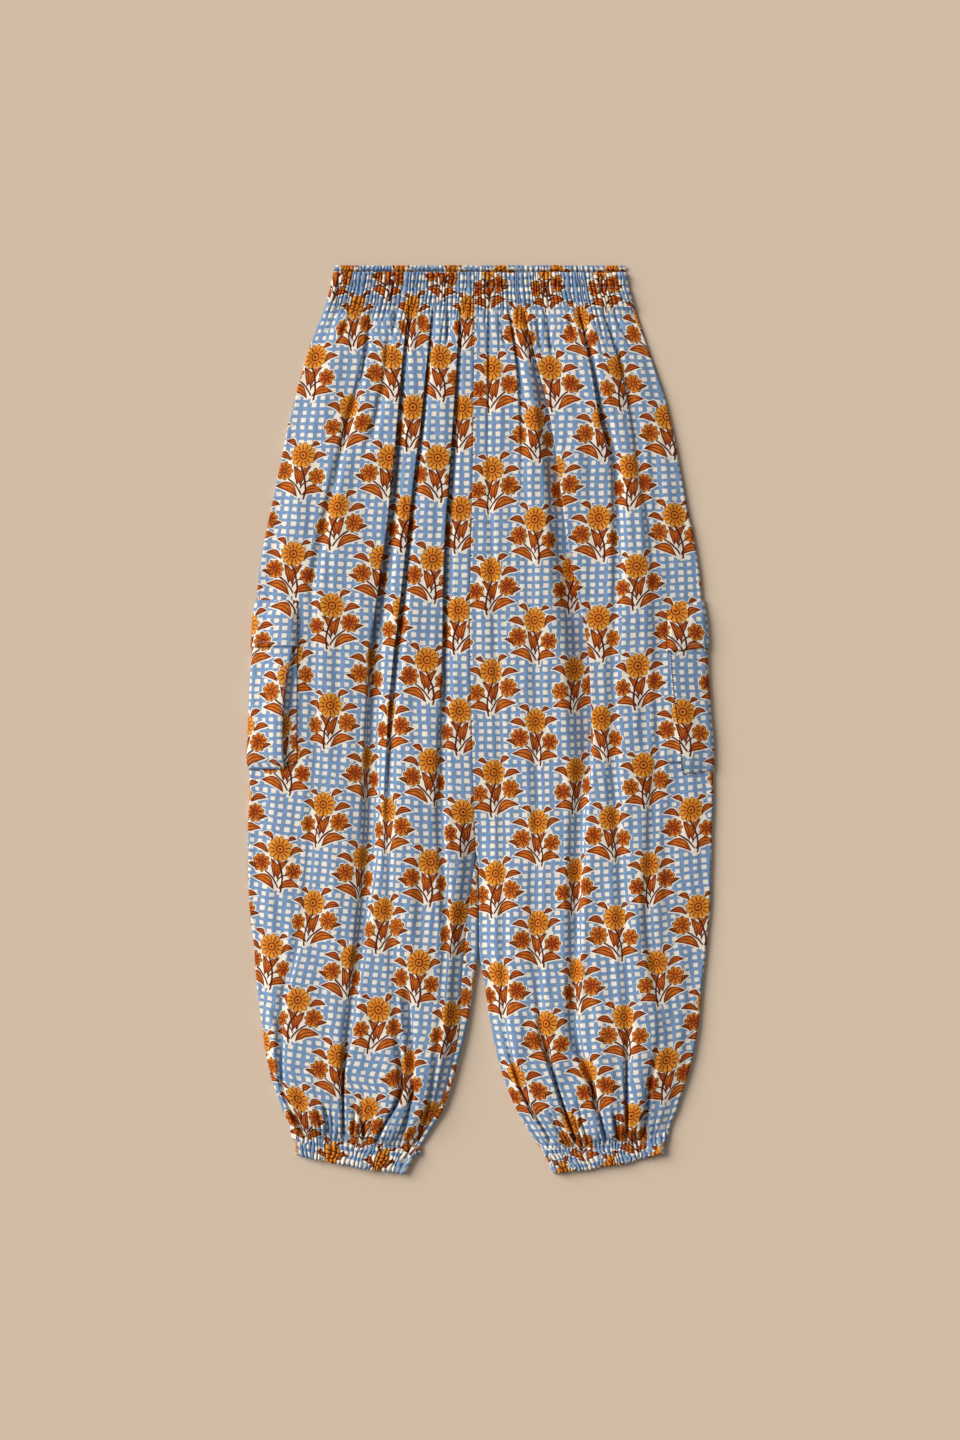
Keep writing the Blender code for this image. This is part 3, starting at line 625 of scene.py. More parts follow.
    def short_creases(self, x, y):
        """What the short creases leave of the cloth's height."""
        kept = np.ones_like(x)
        for crease in SHORT_CREASES[self.leg]:
            (x0, y0), (x1, y1) = crease.start, crease.end
            along = (y0 - y) / (y0 - y1)
            bend = 0.06 * (y0 - y1) * np.sin(np.pi * np.clip(along, 0, 1))
            offset = x - blend(x0, x1, along) - bend * self.inward * 0.3
            ends = ease(1.3 * along / 0.3) * ease(1.3 * (1 - along) / 0.4)
            drop = crease_drop(offset, crease.width, crease.lean) * ends
            kept *= 1 - crease.depth * drop
        return kept

    def gathers(self, x, y):
        """What the gathers of the waist and of the cuff leave of the cloth's height."""
        waist = WAIST_FOLDS.fading(self.waist_share(x, y), WAIST_SEAM - y)
        share = self.leg_share(x, y)
        above = y - cuff_line(self.leg, x)
        cuff = CUFF_FOLDS[self.leg].fading(share, above)
        return (1 - 0.5 * waist) * (1 - 0.6 * cuff)

    def leg_share(self, x, y):
        """Share of the way across this leg."""
        side = SECTIONS.at(self.leg + "_side", y)
        return (x - side) / (SECTIONS.at(self.leg + "_inner", y) - side)

    @staticmethod
    def waist_share(x, y):
        """Share of the way across both legs."""
        low, high = SECTIONS.at("left_side", y), SECTIONS.at("right_side", y)
        return (x - low) / (high - low)

    def crumples(self, x, y):
        """Broad unevenness as a share of the height, and low ripples in millimetres."""
        n = self.noise
        broad = n[0].at(x / 26 + 3, y / 120) + 0.6 * n[1].at(x / 13, y / 70 + 7)
        ripples = (0.55 * n[1].at(x / 10 + y / 300, y / 95) + 0.45 * n[2].at(x / 5.5, y / 38)
                   + 0.20 * n[3].at(x / 7, y / 11))
        return broad * self.crumple, ripples * 0.85 * self.crumple

    def tuck_pleats(self):
        """Move the foot of each sharp side back under its pleat."""
        lines = leg_lines(self.leg, self.y)[2]
        shift = np.zeros_like(self.x)
        for crease, line in zip(CREASES[self.leg], lines[1:]):
            lean = crease_read(crease, "lean", self.y)
            depth = crease_read(crease, "depth", self.y)
            q = (self.x - line) * np.where(lean < 0, -1, 1)
            wall = ease((q + HARD_SIDE) / HARD_SIDE)
            floor = 1 - ease(q / (3 * TUCK))
            amount = TUCK * np.maximum(np.abs(lean) - 0.3, 0) / 0.7 * depth
            shift -= np.sign(lean) * amount * np.where(q < 0, wall, floor)
        self.x = self.x + shift

    def lay_print(self):
        """Cloth coordinates: across from the middle seam, and down from the waist."""
        across = np.hypot(np.diff(self.x, axis=1), np.diff(self.z, axis=1))
        weight = (self.hidden[:, 1:] + self.hidden[:, :-1]) / 2 + EVEN_SHARE
        weight = weight * (np.abs(np.diff(self.x, axis=1)) + 0.15)
        width = CLOTH_WIDTH.at("width", self.y[:, :1])
        spare = width - across.sum(1, keepdims=True)
        across = across + np.maximum(spare, 0) * weight / weight.sum(1, keepdims=True)
        across *= width / across.sum(1, keepdims=True)
        total = np.concatenate((np.zeros_like(width), np.cumsum(across, 1)), 1)
        self.u = width - total
        gathered = waist_cloth(self.leg, self.waist_share(self.x, self.y), self.y)
        self.u = blend(gathered, self.u, ease((WAIST_SEAM - self.y) / WAIST_PRINT))
        gathered = width * (1 - CUFF_FOLDS[self.leg].cloth(self.leg_share(self.x, self.y)))
        above = self.y - cuff_line(self.leg, self.x)
        self.u = blend(gathered, self.u, ease(above / CUFF_PRINT))
        bottom = CUFFS[self.leg].middle_top[1] - LAP
        self.v = blend(WAIST_SEAM + LAP, bottom, self.shares) + 0 * self.x

    def grid(self):
        """Points and cloth coordinates, with the columns from left to right."""
        points = np.stack((self.x, self.y, self.z), 2)
        cloth = np.stack((self.u * -self.inward, self.v), 2)
        if self.leg == "right":
            return points[:, ::-1], cloth[:, ::-1]
        return points, cloth

    def section(self, height, what=("x", "z")):
        """Values across the panel at one height, from the side to the middle."""
        return [np.array([np.interp(-height, -self.y[:, j], getattr(self, name)[:, j])
                          for j in range(self.x.shape[1])]) for name in what]


# ------------------------------------------------------------ grids to meshes

# Where each leg's pieces lie on the printed cloth
PRINT_SHIFT = {"left": (2032.0, 2992.7), "right": (1994.6, 3281.1)}
LOWEST = 0.05                  # lowest that cloth comes to the floor


def deselect_all():
    bpy.ops.object.select_all(action="DESELECT")


def add_object(name, mesh):
    """A new smooth object in the scene, at the origin."""
    obj = bpy.data.objects.new(name, mesh)
    bpy.context.scene.collection.objects.link(obj)
    mesh.shade_smooth()
    return obj


def cloth_object(name, points, cloth, wall, closed=False):
    """Mesh of a grid of points, rows down and columns to the right, seen from above.

    cloth holds the print's coordinates at each point, or at each face's four corners."""
    rows, columns = points.shape[:2]
    index = np.arange(rows * columns).reshape(rows, columns)
    right = np.roll(index, -1, 1) if closed else index[:, 1:]
    here = index if closed else index[:, :-1]
    quads = np.stack((here[:-1], here[1:], right[1:], right[:-1]), 2).reshape(-1, 4)
    mesh = bpy.data.meshes.new(name)
    mesh.from_pydata((points.reshape(-1, 3) * MM).tolist(), [], quads.tolist())
    layer = mesh.uv_layers.new(name=CLOTH_UV)
    if cloth.ndim == 3:
        cloth = cloth.reshape(-1, 2)[quads.reshape(-1)]
    layer.uv.foreach_set("vector", (cloth.reshape(-1) * UV_PER_MM).astype(np.float32))
    obj = add_object(name, mesh)
    if wall:
        deselect_all()
        obj.select_set(True)
        bpy.context.view_layer.objects.active = obj
        shell = obj.modifiers.new("Wall", "SOLIDIFY")
        shell.thickness = wall
        shell.offset = 0
        shell.use_quality_normals = True
        bpy.ops.object.modifier_apply(modifier=shell.name)
    for vertex in mesh.vertices:
        vertex.co.z = max(vertex.co.z, LOWEST * MM)
    return obj


def shifted(cloth, leg):
    """A leg's print coordinates, moved to where its print shows."""
    return cloth + np.array(PRINT_SHIFT[leg])


def dress(obj, node, finish):
    """Give a piece its finish, hang it on the body, and hide the solid that it stands for."""
    obj.data.materials.clear()
    obj.data.materials.append(finish)
    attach(obj, BODY)
    if node:
        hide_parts(node)


# ------------------------------------------------------------ shader mathematics

class Value:
    """A number or vector inside a material, which takes part in Python expressions."""

    def __init__(self, maker, socket):
        self.maker, self.socket = maker, socket

    def math(self, operation, *others):
        return self.maker.node("ShaderNodeMath", {"operation": operation},
                               dict(enumerate((self,) + others)))

    def __add__(self, other):
        return self.math("ADD", other)

    def __sub__(self, other):
        return self.math("SUBTRACT", other)

    def __mul__(self, other):
        return self.math("MULTIPLY", other)

    def __truediv__(self, other):
        return self.math("DIVIDE", other)

    __radd__, __rmul__ = __add__, __mul__

    def __rsub__(self, other):
        return self.maker.node("ShaderNodeMath", {"operation": "SUBTRACT"},
                               {0: other, 1: self})

    def __abs__(self):
        return self.math("ABSOLUTE")

    def least(self, other):
        return self.math("MINIMUM", other)

    def most(self, other):
        return self.math("MAXIMUM", other)

    def below(self, edge, soft):
        """1 where the value is below edge, with a soft border."""
        return self.maker.node("ShaderNodeMapRange", {"interpolation_type": "SMOOTHSTEP"},
                               {0: self, 1: edge - soft / 2, 2: edge + soft / 2, 3: 1.0,
                                4: 0.0})


class Maker:
    """Adds nodes to one material."""

    def __init__(self, name):
        self.material = bpy.data.materials.new(name)
        self.material.use_nodes = True
        self.tree = self.material.node_tree
        self.shader = self.tree.nodes["Principled BSDF"]

    def node(self, kind, settings=None, inputs=None, output=0):
        node = self.tree.nodes.new(kind)
        for name, value in (settings or {}).items():
            setattr(node, name, value)
        self.fill(node, inputs or {})
        return Value(self, node.outputs[output])

    def fill(self, node, inputs):
        for name, value in inputs.items():
            if isinstance(value, Value):
                self.tree.links.new(value.socket, node.inputs[name])
            else:
                node.inputs[name].default_value = value

    def mix(self, factor, a, b, blend_type="MIX"):
        """Colour a where factor is 0 and b where it is 1."""
        return self.node("ShaderNodeMix", {"data_type": "RGBA", "blend_type": blend_type},
                         {0: factor, 6: a, 7: b}, output=2)

    def vector(self, operation, a, b=None, output=0):
        inputs = {0: a} if b is None else {0: a, 1: b}
        return self.node("ShaderNodeVectorMath", {"operation": operation}, inputs, output)

    def point(self, x, y):
        return self.node("ShaderNodeCombineXYZ", None, {0: x, 1: y})

    def parts(self, vector):
        """The three numbers of a vector."""
        first = self.node("ShaderNodeSeparateXYZ", None, {0: vector})
        others = first.socket.node.outputs[1:]
        return [first] + [Value(self, socket) for socket in others]

    def noise(self, vector, scale, detail=2.0, output=0):
        return self.node("ShaderNodeTexNoise", None,
                         {"Vector": vector, "Scale": scale, "Detail": detail}, output)

    def white(self, vector, output=0):
        return self.node("ShaderNodeTexWhiteNoise", {"noise_dimensions": "2D"},
                         {"Vector": vector}, output)


# ------------------------------------------------------------ the print

SQUARE_PITCH = (10.0, 8.35)    # spacing of the check's squares, across and down
SQUARE_HALF = (2.6, 2.3)
SQUARE_ROUND = 0.7
SPRAY_PITCH = (101.0, 55.3)    # spacing of the sprays in a row, and of the rows
SPRAY_SIZE = 1.2               # how large the spray below is drawn
WANDER = 2.2                   # how far the print wanders from its even spacing
WEAVE_PITCH = 0.9
WEAVE_DEPTH = 0.00015          # in metres, like every depth of a bump
HALO = 1.1                     # pale margin round a spray
CRISP = 0.5                    # soft border of what is printed
OUTLINE = 0.95                 # width of the line round a leaf
RIB_HALF = 0.42
RIB_INSET = 0.9                # how far inside a leaf its rib ends

# The spray, in millimetres from the middle of its place. A limb is a leaf or a stem:
# where it starts and ends, its half width and how far its middle bows to the left.
Limb = namedtuple("Limb", "start end half bow")
Bloom = namedtuple("Bloom", "centre radius petals")
DAISY = Bloom((-1.0, 14.0), 11.4, 13)
ROSETTES = (Bloom((-15.5, -5.5), 7.6, 7), Bloom((16.0, -1.0), 8.4, 9))
LEAVES = (
    Limb((-3.0, -23.5), (-23.0, -19.5), 3.8, -4.6),
    Limb((1.0, -25.0), (24.0, -15.5), 4.2, 5.2),
    Limb((-1.5, -15.5), (-10.5, 4.5), 3.3, -4.4),
    Limb((2.5, -14.0), (7.0, 4.5), 3.2, 2.6),
    Limb((10.0, 8.5), (26.0, 13.5), 3.0, 3.6),
    Limb((6.0, 22.0), (16.5, 27.5), 2.6, 2.4),
    Limb((-11.0, 8.0), (-24.0, 14.5), 3.0, -4.2),
    Limb((-8.0, 22.0), (-16.5, 25.0), 2.2, -2.0),
    Limb((20.0, -7.5), (29.0, -3.0), 2.0, 1.8),
)
FILL = Limb((0.0, -26.0), (0.0, 22.0), 17.0, 0.0)    # pale cloth behind the stems
STEMS = (
    Limb((0.5, 4.0), (-5.0, -27.0), 0.95, -3.0),
    Limb((-1.0, -17.0), (-10.0, -9.0), 0.7, -1.6),
    Limb((-2.5, -22.5), (11.5, -8.0), 0.8, 1.4),
)

# The lines in a bloom: where those between its petals start, a ring round its middle, how
# far inside the edge its outline is, and half the width of each
BloomLines = namedtuple("BloomLines", "start half ring ring_half inset outline_half")
ROSETTE_LINES = BloomLines(2.6, 0.42, 1.8, 0.45, 0.3, 0.4)
DAISY_LINES = BloomLines(5.4, 0.56, 3.4, 0.55, 0.1, 0.3)
DAISY_DOT = 1.1                # radius of the dot in a daisy's middle


def nearest(distances):
    """The least of several distances."""
    return functools.reduce(Value.least, distances)


def limb_distance(maker, place, limb, tapered):
    """Distance in millimetres outside a limb, and the distance from its middle line."""
    (x0, y0), (x1, y1) = limb.start, limb.end
    length = math.hypot(x1 - x0, y1 - y0)
    ux, uy = (x1 - x0) / length, (y1 - y0) / length
    along = maker.vector("DOT_PRODUCT", place, (ux / length, uy / length, 0), output=1)
    along = along - (x0 * ux + y0 * uy) / length
    across = maker.vector("DOT_PRODUCT", place, (-uy, ux, 0), output=1)
    hump = along * (1 - along) * 4
    offset = abs(hump.math("MULTIPLY_ADD", -limb.bow, across - (y0 * ux - x0 * uy)))
    if tapered:
        return hump.math("MULTIPLY_ADD", -limb.half, offset), offset
    ends = (abs(along - 0.5) - 0.5) * length
    return (offset - limb.half).most(ends), offset


def bloom_distance(maker, place, bloom):
    """Distance outside a bloom with a lobed edge, distance from its centre, and angle."""
    from_centre = maker.vector("SUBTRACT", place, bloom.centre + (0,))
    radius = maker.vector("LENGTH", from_centre, output=1)
    x, y, _ = maker.parts(from_centre)
    angle = y.math("ARCTAN2", x)
    lobes = abs((angle * (bloom.petals / 2)).math("SINE"))
    distance = radius - bloom.radius - 2.0 * lobes + 1.4
    return distance, radius, angle


class Spray:
    """Distances to the parts of one spray, which its colours and lines are made from."""

    def __init__(self, maker, place):
        self.maker, self.place = maker, place
        limbs = [limb_distance(maker, place, limb, tapered=True) for limb in LEAVES]
        self.leaves = nearest([distance for distance, _ in limbs])
        self.ribs = nearest([(offset - RIB_HALF).most(distance + RIB_INSET)
                             for distance, offset in limbs])
        self.stems = nearest([limb_distance(maker, place, limb, tapered=False)[0]
                              for limb in STEMS])
        self.daisy, self.daisy_radius, self.daisy_angle = bloom_distance(maker, place, DAISY)
        self.rosettes = [bloom_distance(maker, place, bloom) for bloom in ROSETTES]
        self.rosette = nearest([distance for distance, _, _ in self.rosettes])

    def painted(self, colours, ground, variety):
        """The ground with a pale margin over it, and leaves and blooms over that."""
        maker = self.maker
        grain, wide_grain = maker.noise(self.place, 0.55), maker.noise(self.place, 0.16)
        fill = limb_distance(maker, self.place, FILL, tapered=True)[0]
        whole = nearest([self.leaves, self.stems - 0.6, self.daisy, self.rosette, fill + HALO])
        colour = maker.mix(whole.below(HALO, 0.9), ground, colours["cream"])
        shaded = (grain * 0.6 + wide_grain).below(0.92, 0.3)
        leaf = maker.mix(shaded, colours["orange"], colours["rust"])
        leaf = maker.mix((self.leaves + 2.0).below(0, 1.4) * 0.4, leaf, colours["ochre"])
        colour = maker.mix(self.leaves.below(0, CRISP), colour, leaf)
        shaded = (grain * 0.7 + wide_grain + variety * 0.3).below(1.04, 0.35)
        petals = maker.mix(shaded, colours["orange"], colours["rust"])
        petals = maker.mix((self.rosette + 2.0).below(0, 0.8), colours["ochre"], petals)
        colour = maker.mix(self.rosette.below(0, CRISP), colour, petals)
        disc = maker.mix(self.daisy_radius.below(7.4, 3.0), colours["gold"], colours["orange"])
        disc = maker.mix(grain.below(0.5, 0.2) * 0.8, disc, colours["ochre"])
        return maker.mix(self.daisy.below(0, CRISP), colour, disc)

    def lines(self):
        """Distance outside the drawn lines."""
        drawn = ROSETTE_LINES
        lines = [abs(self.leaves + OUTLINE / 2) - OUTLINE / 2, self.ribs, self.stems,
                 abs(self.rosette + drawn.inset) - drawn.outline_half]
        for (_, radius, angle), bloom in zip(self.rosettes, ROSETTES):
            spokes = abs((angle * (bloom.petals / 2)).math("COSINE")) * radius * 0.25
            outside = (drawn.start - radius).most(radius - bloom.radius * 0.86)
            lines += [(spokes - drawn.half).most(outside),
                      abs(radius - drawn.ring) - drawn.ring_half]
        drawn, radius = DAISY_LINES, self.daisy_radius
        spokes = abs((self.daisy_angle * (DAISY.petals / 2)).math("SINE")) * radius * 0.2
        outside = (drawn.start - radius).most(self.daisy + 0.6)
        lines += [(spokes - drawn.half).most(outside),
                  abs(radius - drawn.ring) - drawn.ring_half, radius - DAISY_DOT,
                  abs(self.daisy + drawn.inset) - drawn.outline_half]
        return nearest(lines)

    def colour(self, colours, ground, variety):
        """The whole spray, with its lines and the specks in its rosettes."""
        painted = self.painted(colours, ground, variety)
        specks = self.maker.noise(self.place, 1.0, 1.0).below(0.37, 0.05)
        specks = specks * self.rosette.below(-1.0, CRISP)
        ink = self.lines().below(0.0, CRISP).most(specks * 0.8)
        return self.maker.mix(ink, painted, colours["brown"])


def check_colour(maker, colours, cloth, a, b):
    """The ground: rows of uneven cream squares on blue, at a place (a, b)."""
    column, row = a / SQUARE_PITCH[0], b / SQUARE_PITCH[1]
    cell = maker.point(column.math("FLOOR"), row.math("FLOOR"))
    sideways, upwards, size = maker.parts(maker.white(cell, output=1))
    x = abs((column.math("FRACT") - 0.5) * SQUARE_PITCH[0] + (sideways - 0.5) * 0.9)
    y = abs((row.math("FRACT") - 0.5) * SQUARE_PITCH[1] + (upwards - 0.5) * 0.8)
    grow = (size - 0.5) * 0.9
    corner = maker.point((x - (SQUARE_HALF[0] - SQUARE_ROUND) - grow).most(0),
                         (y - (SQUARE_HALF[1] - SQUARE_ROUND) - grow * 0.6).most(0))
    square = maker.vector("LENGTH", corner, output=1) - SQUARE_ROUND
    mottle = maker.noise(cloth, 0.22, 3.0)
    ground = maker.mix(mottle.below(0.5, 0.35), colours["pale_blue"], colours["blue"])
    return maker.mix(square.below(0, 0.9), ground, colours["cream"])


def spray_place(maker, a, b):
    """The place (a, b) from the middle of the nearest spray, and a number of its own.

    That spray is in an even row, or in an odd row, which is mirrored and half a step on."""
    along, down = a / SPRAY_PITCH[0], b / (2 * SPRAY_PITCH[1])
    even = [value - (value + 0.5).math("FLOOR") for value in (along, down)]
    odd = [value - value.math("FLOOR") - 0.5 for value in (along, down)]
    is_odd = (abs(even[0]) + abs(even[1])).math("GREATER_THAN", 0.5)
    near = [is_odd.math("MULTIPLY_ADD", q - p, p) for p, q in zip(even, odd)]
    x = near[0] * SPRAY_PITCH[0] * (1 - is_odd * 2) / SPRAY_SIZE
    y = near[1] * (2 * SPRAY_PITCH[1]) / SPRAY_SIZE
    variety = maker.white(maker.point(along - near[0], down - near[1]))
    return maker.point(x, y), variety


def print_colour(maker, settings):
    """Colour of the printed cotton, and the place on the cloth in millimetres."""
    colours = {name: tuple(getattr(settings, name)) + (1,) for name in
               ("blue", "pale_blue", "cream", "ochre", "gold", "orange", "rust", "brown")}
    uv = maker.node("ShaderNodeUVMap", {"uv_map": CLOTH_UV})
    cloth = maker.vector("SCALE", uv)
    cloth.socket.node.inputs["Scale"].default_value = 1 / UV_PER_MM
    wander = maker.noise(cloth, 0.11, 2.0, output=1)
    wander = maker.vector("SUBTRACT", wander, (0.5, 0.5, 0.5))
    wander = maker.vector("MULTIPLY", wander, (WANDER, WANDER, 0))
    a, b, _ = maker.parts(maker.vector("ADD", cloth, wander))
    ground = check_colour(maker, colours, cloth, a, b)
    place, variety = spray_place(maker, a, b)
    colour = Spray(maker, place).colour(colours, ground, variety)
    threads = maker.noise(cloth, 1.6, 2.0)
    shade = maker.mix(threads, (0.6, 0.6, 0.6, 1), (1, 1, 1, 1))
    return maker.mix(0.10, colour, shade, "MULTIPLY"), cloth


def cotton(name, settings, weave, roughness):
    """Printed cotton with a fine plain weave."""
    maker = Maker(name)
    colour, cloth = print_colour(maker, settings)
    maker.fill(maker.shader, {"Base Color": colour, "Roughness": roughness,
                              "Specular IOR Level": 0.1})
    x, y, _ = maker.parts(cloth)
    warp, weft = [(value * (2 * math.pi / WEAVE_PITCH)).math("SINE") for value in (x, y)]
    slub = maker.noise(cloth, 0.9, 3.0)
    height = warp * weft * 0.3 + slub
    bump = maker.node("ShaderNodeBump", None,
                      {"Strength": weave, "Distance": WEAVE_DEPTH, "Height": height})
    maker.fill(maker.shader, {"Normal": bump})
    return maker.material


def plain(name, colour, roughness, mottle):
    """A plain finish, which mottle makes darker in places over its Object coordinates."""
    maker = Maker(name)
    base = tuple(colour) + (1,)
    if mottle:
        place = maker.node("ShaderNodeTexCoord", None, None, output=3)
        darker = tuple(c * (1 - mottle) for c in colour) + (1,)
        base = maker.mix(maker.noise(place, 900.0), darker, base)
    maker.fill(maker.shader, {"Base Color": base, "Roughness": roughness,
                              "Specular IOR Level": 0.2})
    return maker.material


COTTONS = {"cotton_cloth": (0.5, 0.88), "casing_cloth": (0.8, 0.92)}    # weave, roughness


def material(name):
    """The finish with this name, made when it is first asked for."""
    known = bpy.data.materials.get(name)
    if known:
        return known
    printed, stage = bpy.context.scene.trousers_print, bpy.context.scene.trousers_stage
    if name in COTTONS:
        return cotton(name, printed, *COTTONS[name])
    # the brown thread is painted shade: its stitches stand in for the shaded gap along the right
    # pocket's edge
    colour, roughness, mottle = {"thread": (printed.thread, 0.7, 0.25),
                                 "dark_thread": (printed.brown, 0.7, 0.25),
                                 "floor": (stage.floor_colour, 0.95, 0.0)}[name]
    return plain(name, colour, roughness, mottle)


# ------------------------------------------------------------ settings

def length_setting(name, description, default):
    return FloatProperty(name=name, description=description, default=default, min=0,
                         unit="LENGTH", subtype="DISTANCE")


def colour_setting(name, description, default):
    return FloatVectorProperty(name=name, description=description, default=default, size=3,
                               min=0, max=1, subtype="COLOR")


class TROUSERS_cloth(bpy.types.PropertyGroup):
    wall: length_setting("Cloth", "Thickness of one layer of cotton", 0.0006)
    casing_wall: length_setting("Casing", "Thickness of the casings' doubled cloth", 0.0010)
    crumple: FloatProperty(name="Crumple", description="Unevenness of the cloth", default=1,
                           min=0, max=2, subtype="FACTOR")
    rows: IntProperty(name="Rows", description="Rows of points down a leg", default=190,
                      min=40)


class TROUSERS_print(bpy.types.PropertyGroup):
    blue: colour_setting("Blue", "Ground of the check", (0.150, 0.243, 0.400))
    pale_blue: colour_setting("Pale blue", "Paler patches of the ground", (0.200, 0.305, 0.475))
    cream: colour_setting("Cream", "Squares and margins", (0.79, 0.71, 0.595))
    ochre: colour_setting("Ochre", "Petals", (0.62, 0.205, 0.018))
    gold: colour_setting("Gold", "Petals near a bloom's middle", (0.70, 0.29, 0.032))
    orange: colour_setting("Orange", "Small blooms and leaves", (0.56, 0.140, 0.012))
    rust: colour_setting("Rust", "Shaded leaves", (0.39, 0.058, 0.007))
    # brown also colours the stitches that are painted shade along the right pocket's edge
    brown: colour_setting("Brown", "Drawn lines", (0.085, 0.013, 0.004))
    thread: colour_setting("Thread", "Sewing thread", (0.36, 0.47, 0.66))


class TROUSERS_stage(bpy.types.PropertyGroup):
    floor_colour: colour_setting("Floor", "Colour of the floor", (0.63, 0.50, 0.38))
    distance: length_setting("Camera height", "Height of the camera above the floor", 4.0)
    frame_height: length_setting("Frame height", "What the picture's long side takes in", 1.584)


# ------------------------------------------------------------ the legs

def leg_shape(leg):
    """The shape of a leg, worked out once."""
    if leg not in leg_shape.known:
        cloth = bpy.context.scene.trousers_cloth
        leg_shape.known[leg] = LegShape(leg, cloth.rows, cloth.crumple)
    return leg_shape.known[leg]


leg_shape.known = {}


class TROUSERS_OT_front_legs(bpy.types.Operator):
    """Make the two front panels with their pleats and crumples"""
    bl_idname = "trousers.front_legs"
    bl_label = "Front Panels"

    def execute(self, context):
        for leg in LEGS:
            points, cloth = leg_shape(leg).grid()
            obj = cloth_object("front_panel_" + leg, points, shifted(cloth, leg),
                               context.scene.trousers_cloth.wall)
            dress(obj, "front_leg_" + leg, material("cotton_cloth"))
        return {"FINISHED"}


BACK_ROWS = 120
BACK_COLUMNS = 40
TURN_STEPS = 8
STRIP_STEPS = 4
BEND = slice(BACK_COLUMNS - 1, BACK_COLUMNS + TURN_STEPS)
STRIP = slice(BACK_COLUMNS + TURN_STEPS, None)
TURN = np.linspace(-math.pi / 2, math.pi / 2, TURN_STEPS + 1)
TURN_RADIUS = 3.0              # largest half width of the left panel's bend
BACK_SHIFT = (37, 19)          # the print lies differently on the back panels


def back_place(leg, height):
    """x of a back panel's columns, x of its side, and the height of its turned strip."""
    side = SECTIONS.at(leg + "_side", height)
    inner = SECTIONS.at(leg + "_inner", height) - INWARD[leg] * 0.2
    seam = SECTIONS.at("left_seam", height) if leg == "left" else inner
    below = inner_turn(height) if leg == "left" else np.zeros_like(height)
    half = np.minimum(TURN_RADIUS, np.abs(inner - seam) / 2) * below
    centre = inner - half
    steps = np.concatenate((np.linspace(0, 1, BACK_COLUMNS), np.ones(TURN_STEPS + STRIP_STEPS)))
    x = blend(side, centre, steps[None])
    x[:, BEND] = centre[:, BEND] + half[:, BEND] * np.cos(TURN)
    part = np.linspace(0, 1, STRIP_STEPS + 1)[1:]
    end = blend(centre, seam, below)
    x[:, STRIP] = end[:, STRIP] * part + centre[:, STRIP] * (1 - part)
    rise = SEAM_RISE * (1 - LOWER_SEAM)
    return x, side, blend(ON_SURFACE, rise * SECTIONS.at("crown", height) * CROWN_LIFT, below)


def back_grid(leg):
    """Flat points of a back panel, and of its strip that turns round the inner leg."""
    shares = row_shares(BACK_ROWS)[:, None]
    cuff_top = CUFFS[leg].middle_top[1]
    height = np.repeat(blend(WAIST_SEAM, cuff_top, shares),
                       BACK_COLUMNS + TURN_STEPS + STRIP_STEPS, 1)
    for _ in range(SETTLING):
        x, side, top = back_place(leg, height)
        height = blend(WAIST_SEAM - SEAM / 2, cuff_line(leg, x) + SEAM, shares)
    z = ON_SURFACE + ease(1 - np.abs(x - side) / 5) * 0.35
    middle = (top + ON_SURFACE) / 2
    z[:, BEND] = middle[:, BEND] + (top - middle)[:, BEND] * np.sin(TURN)
    noise = Noise(31 if leg == "left" else 32)
    z[:, STRIP] = top[:, STRIP] + 0.3 * noise.at(x[:, STRIP] / 6, height[:, STRIP] / 14)
    width = CLOTH_WIDTH.at("width", height[:, :1])
    total = run_length(x, z)
    u = width - total * width / total[:, BACK_COLUMNS - 1][:, None]
    v = np.repeat(WAIST_SEAM - shares * (WAIST_SEAM - cuff_top), x.shape[1], 1)
    points, cloth = np.stack((x, height, z), 2), np.stack((u * INWARD[leg], v), 2)
    if leg == "right":
        return points[:, :BACK_COLUMNS], cloth[:, :BACK_COLUMNS]
    return points[:, ::-1], cloth[:, ::-1]


class TROUSERS_OT_back_legs(bpy.types.Operator):
    """Make the two back panels, flat on the floor"""
    bl_idname = "trousers.back_legs"
    bl_label = "Back Panels"

    def execute(self, context):
        for leg in LEGS:
            points, cloth = back_grid(leg)
            obj = cloth_object("back_panel_" + leg, points, shifted(cloth, leg) + BACK_SHIFT,
                               context.scene.trousers_cloth.wall)
            dress(obj, "back_leg_" + leg, material("cotton_cloth"))
        return {"FINISHED"}


# ------------------------------------------------------------ the waist

BAND_POINTS = 760
BAND_STEPS = 24
EDGE_STEPS = 6
END_STEPS = 9
EDGE_ROLL = 1.6                # how far the front casing's top edge rolls over
END_FOOT = 3.0                 # how high the front casing's ends hang above the floor
BACK_POINTS = 560
BACK_GATHERS = 70              # gathers of the back casing's inside
INSIDE_SHIFT = (31, 61)        # the print lies differently on the back casing
INSIDE_STRIP = 8               # height of the strip of the inside that shows
INSIDE_HIDDEN = 12             # from here down, the front casing hides it


def band_rows():
    """Heights of the front casing's rows, and how far its rolled top edge sinks."""
    over = np.radians(np.linspace(0, 75, EDGE_STEPS))
    top = FRONT_WAIST - EDGE_ROLL * (1 - np.cos(over))
    below = np.linspace(FRONT_WAIST - EDGE_ROLL, WAIST_SEAM - LAP, BAND_STEPS)
    sunk = EDGE_ROLL * 1.5 * (1 - np.sin(over))
    return (np.concatenate((top, below))[:, None],
            np.concatenate((sunk, np.zeros(BAND_STEPS)))[:, None])


def rolled_casing(edge, inward, angle, top):
    """Points on a casing's rounded end, from its foot at angle 0 to its top at 90."""
    turn = np.radians(angle)
    return (edge + inward * CASING_ROLL * (1 - np.cos(turn)),
            top - (top - END_FOOT) * (1 - np.sin(turn)))


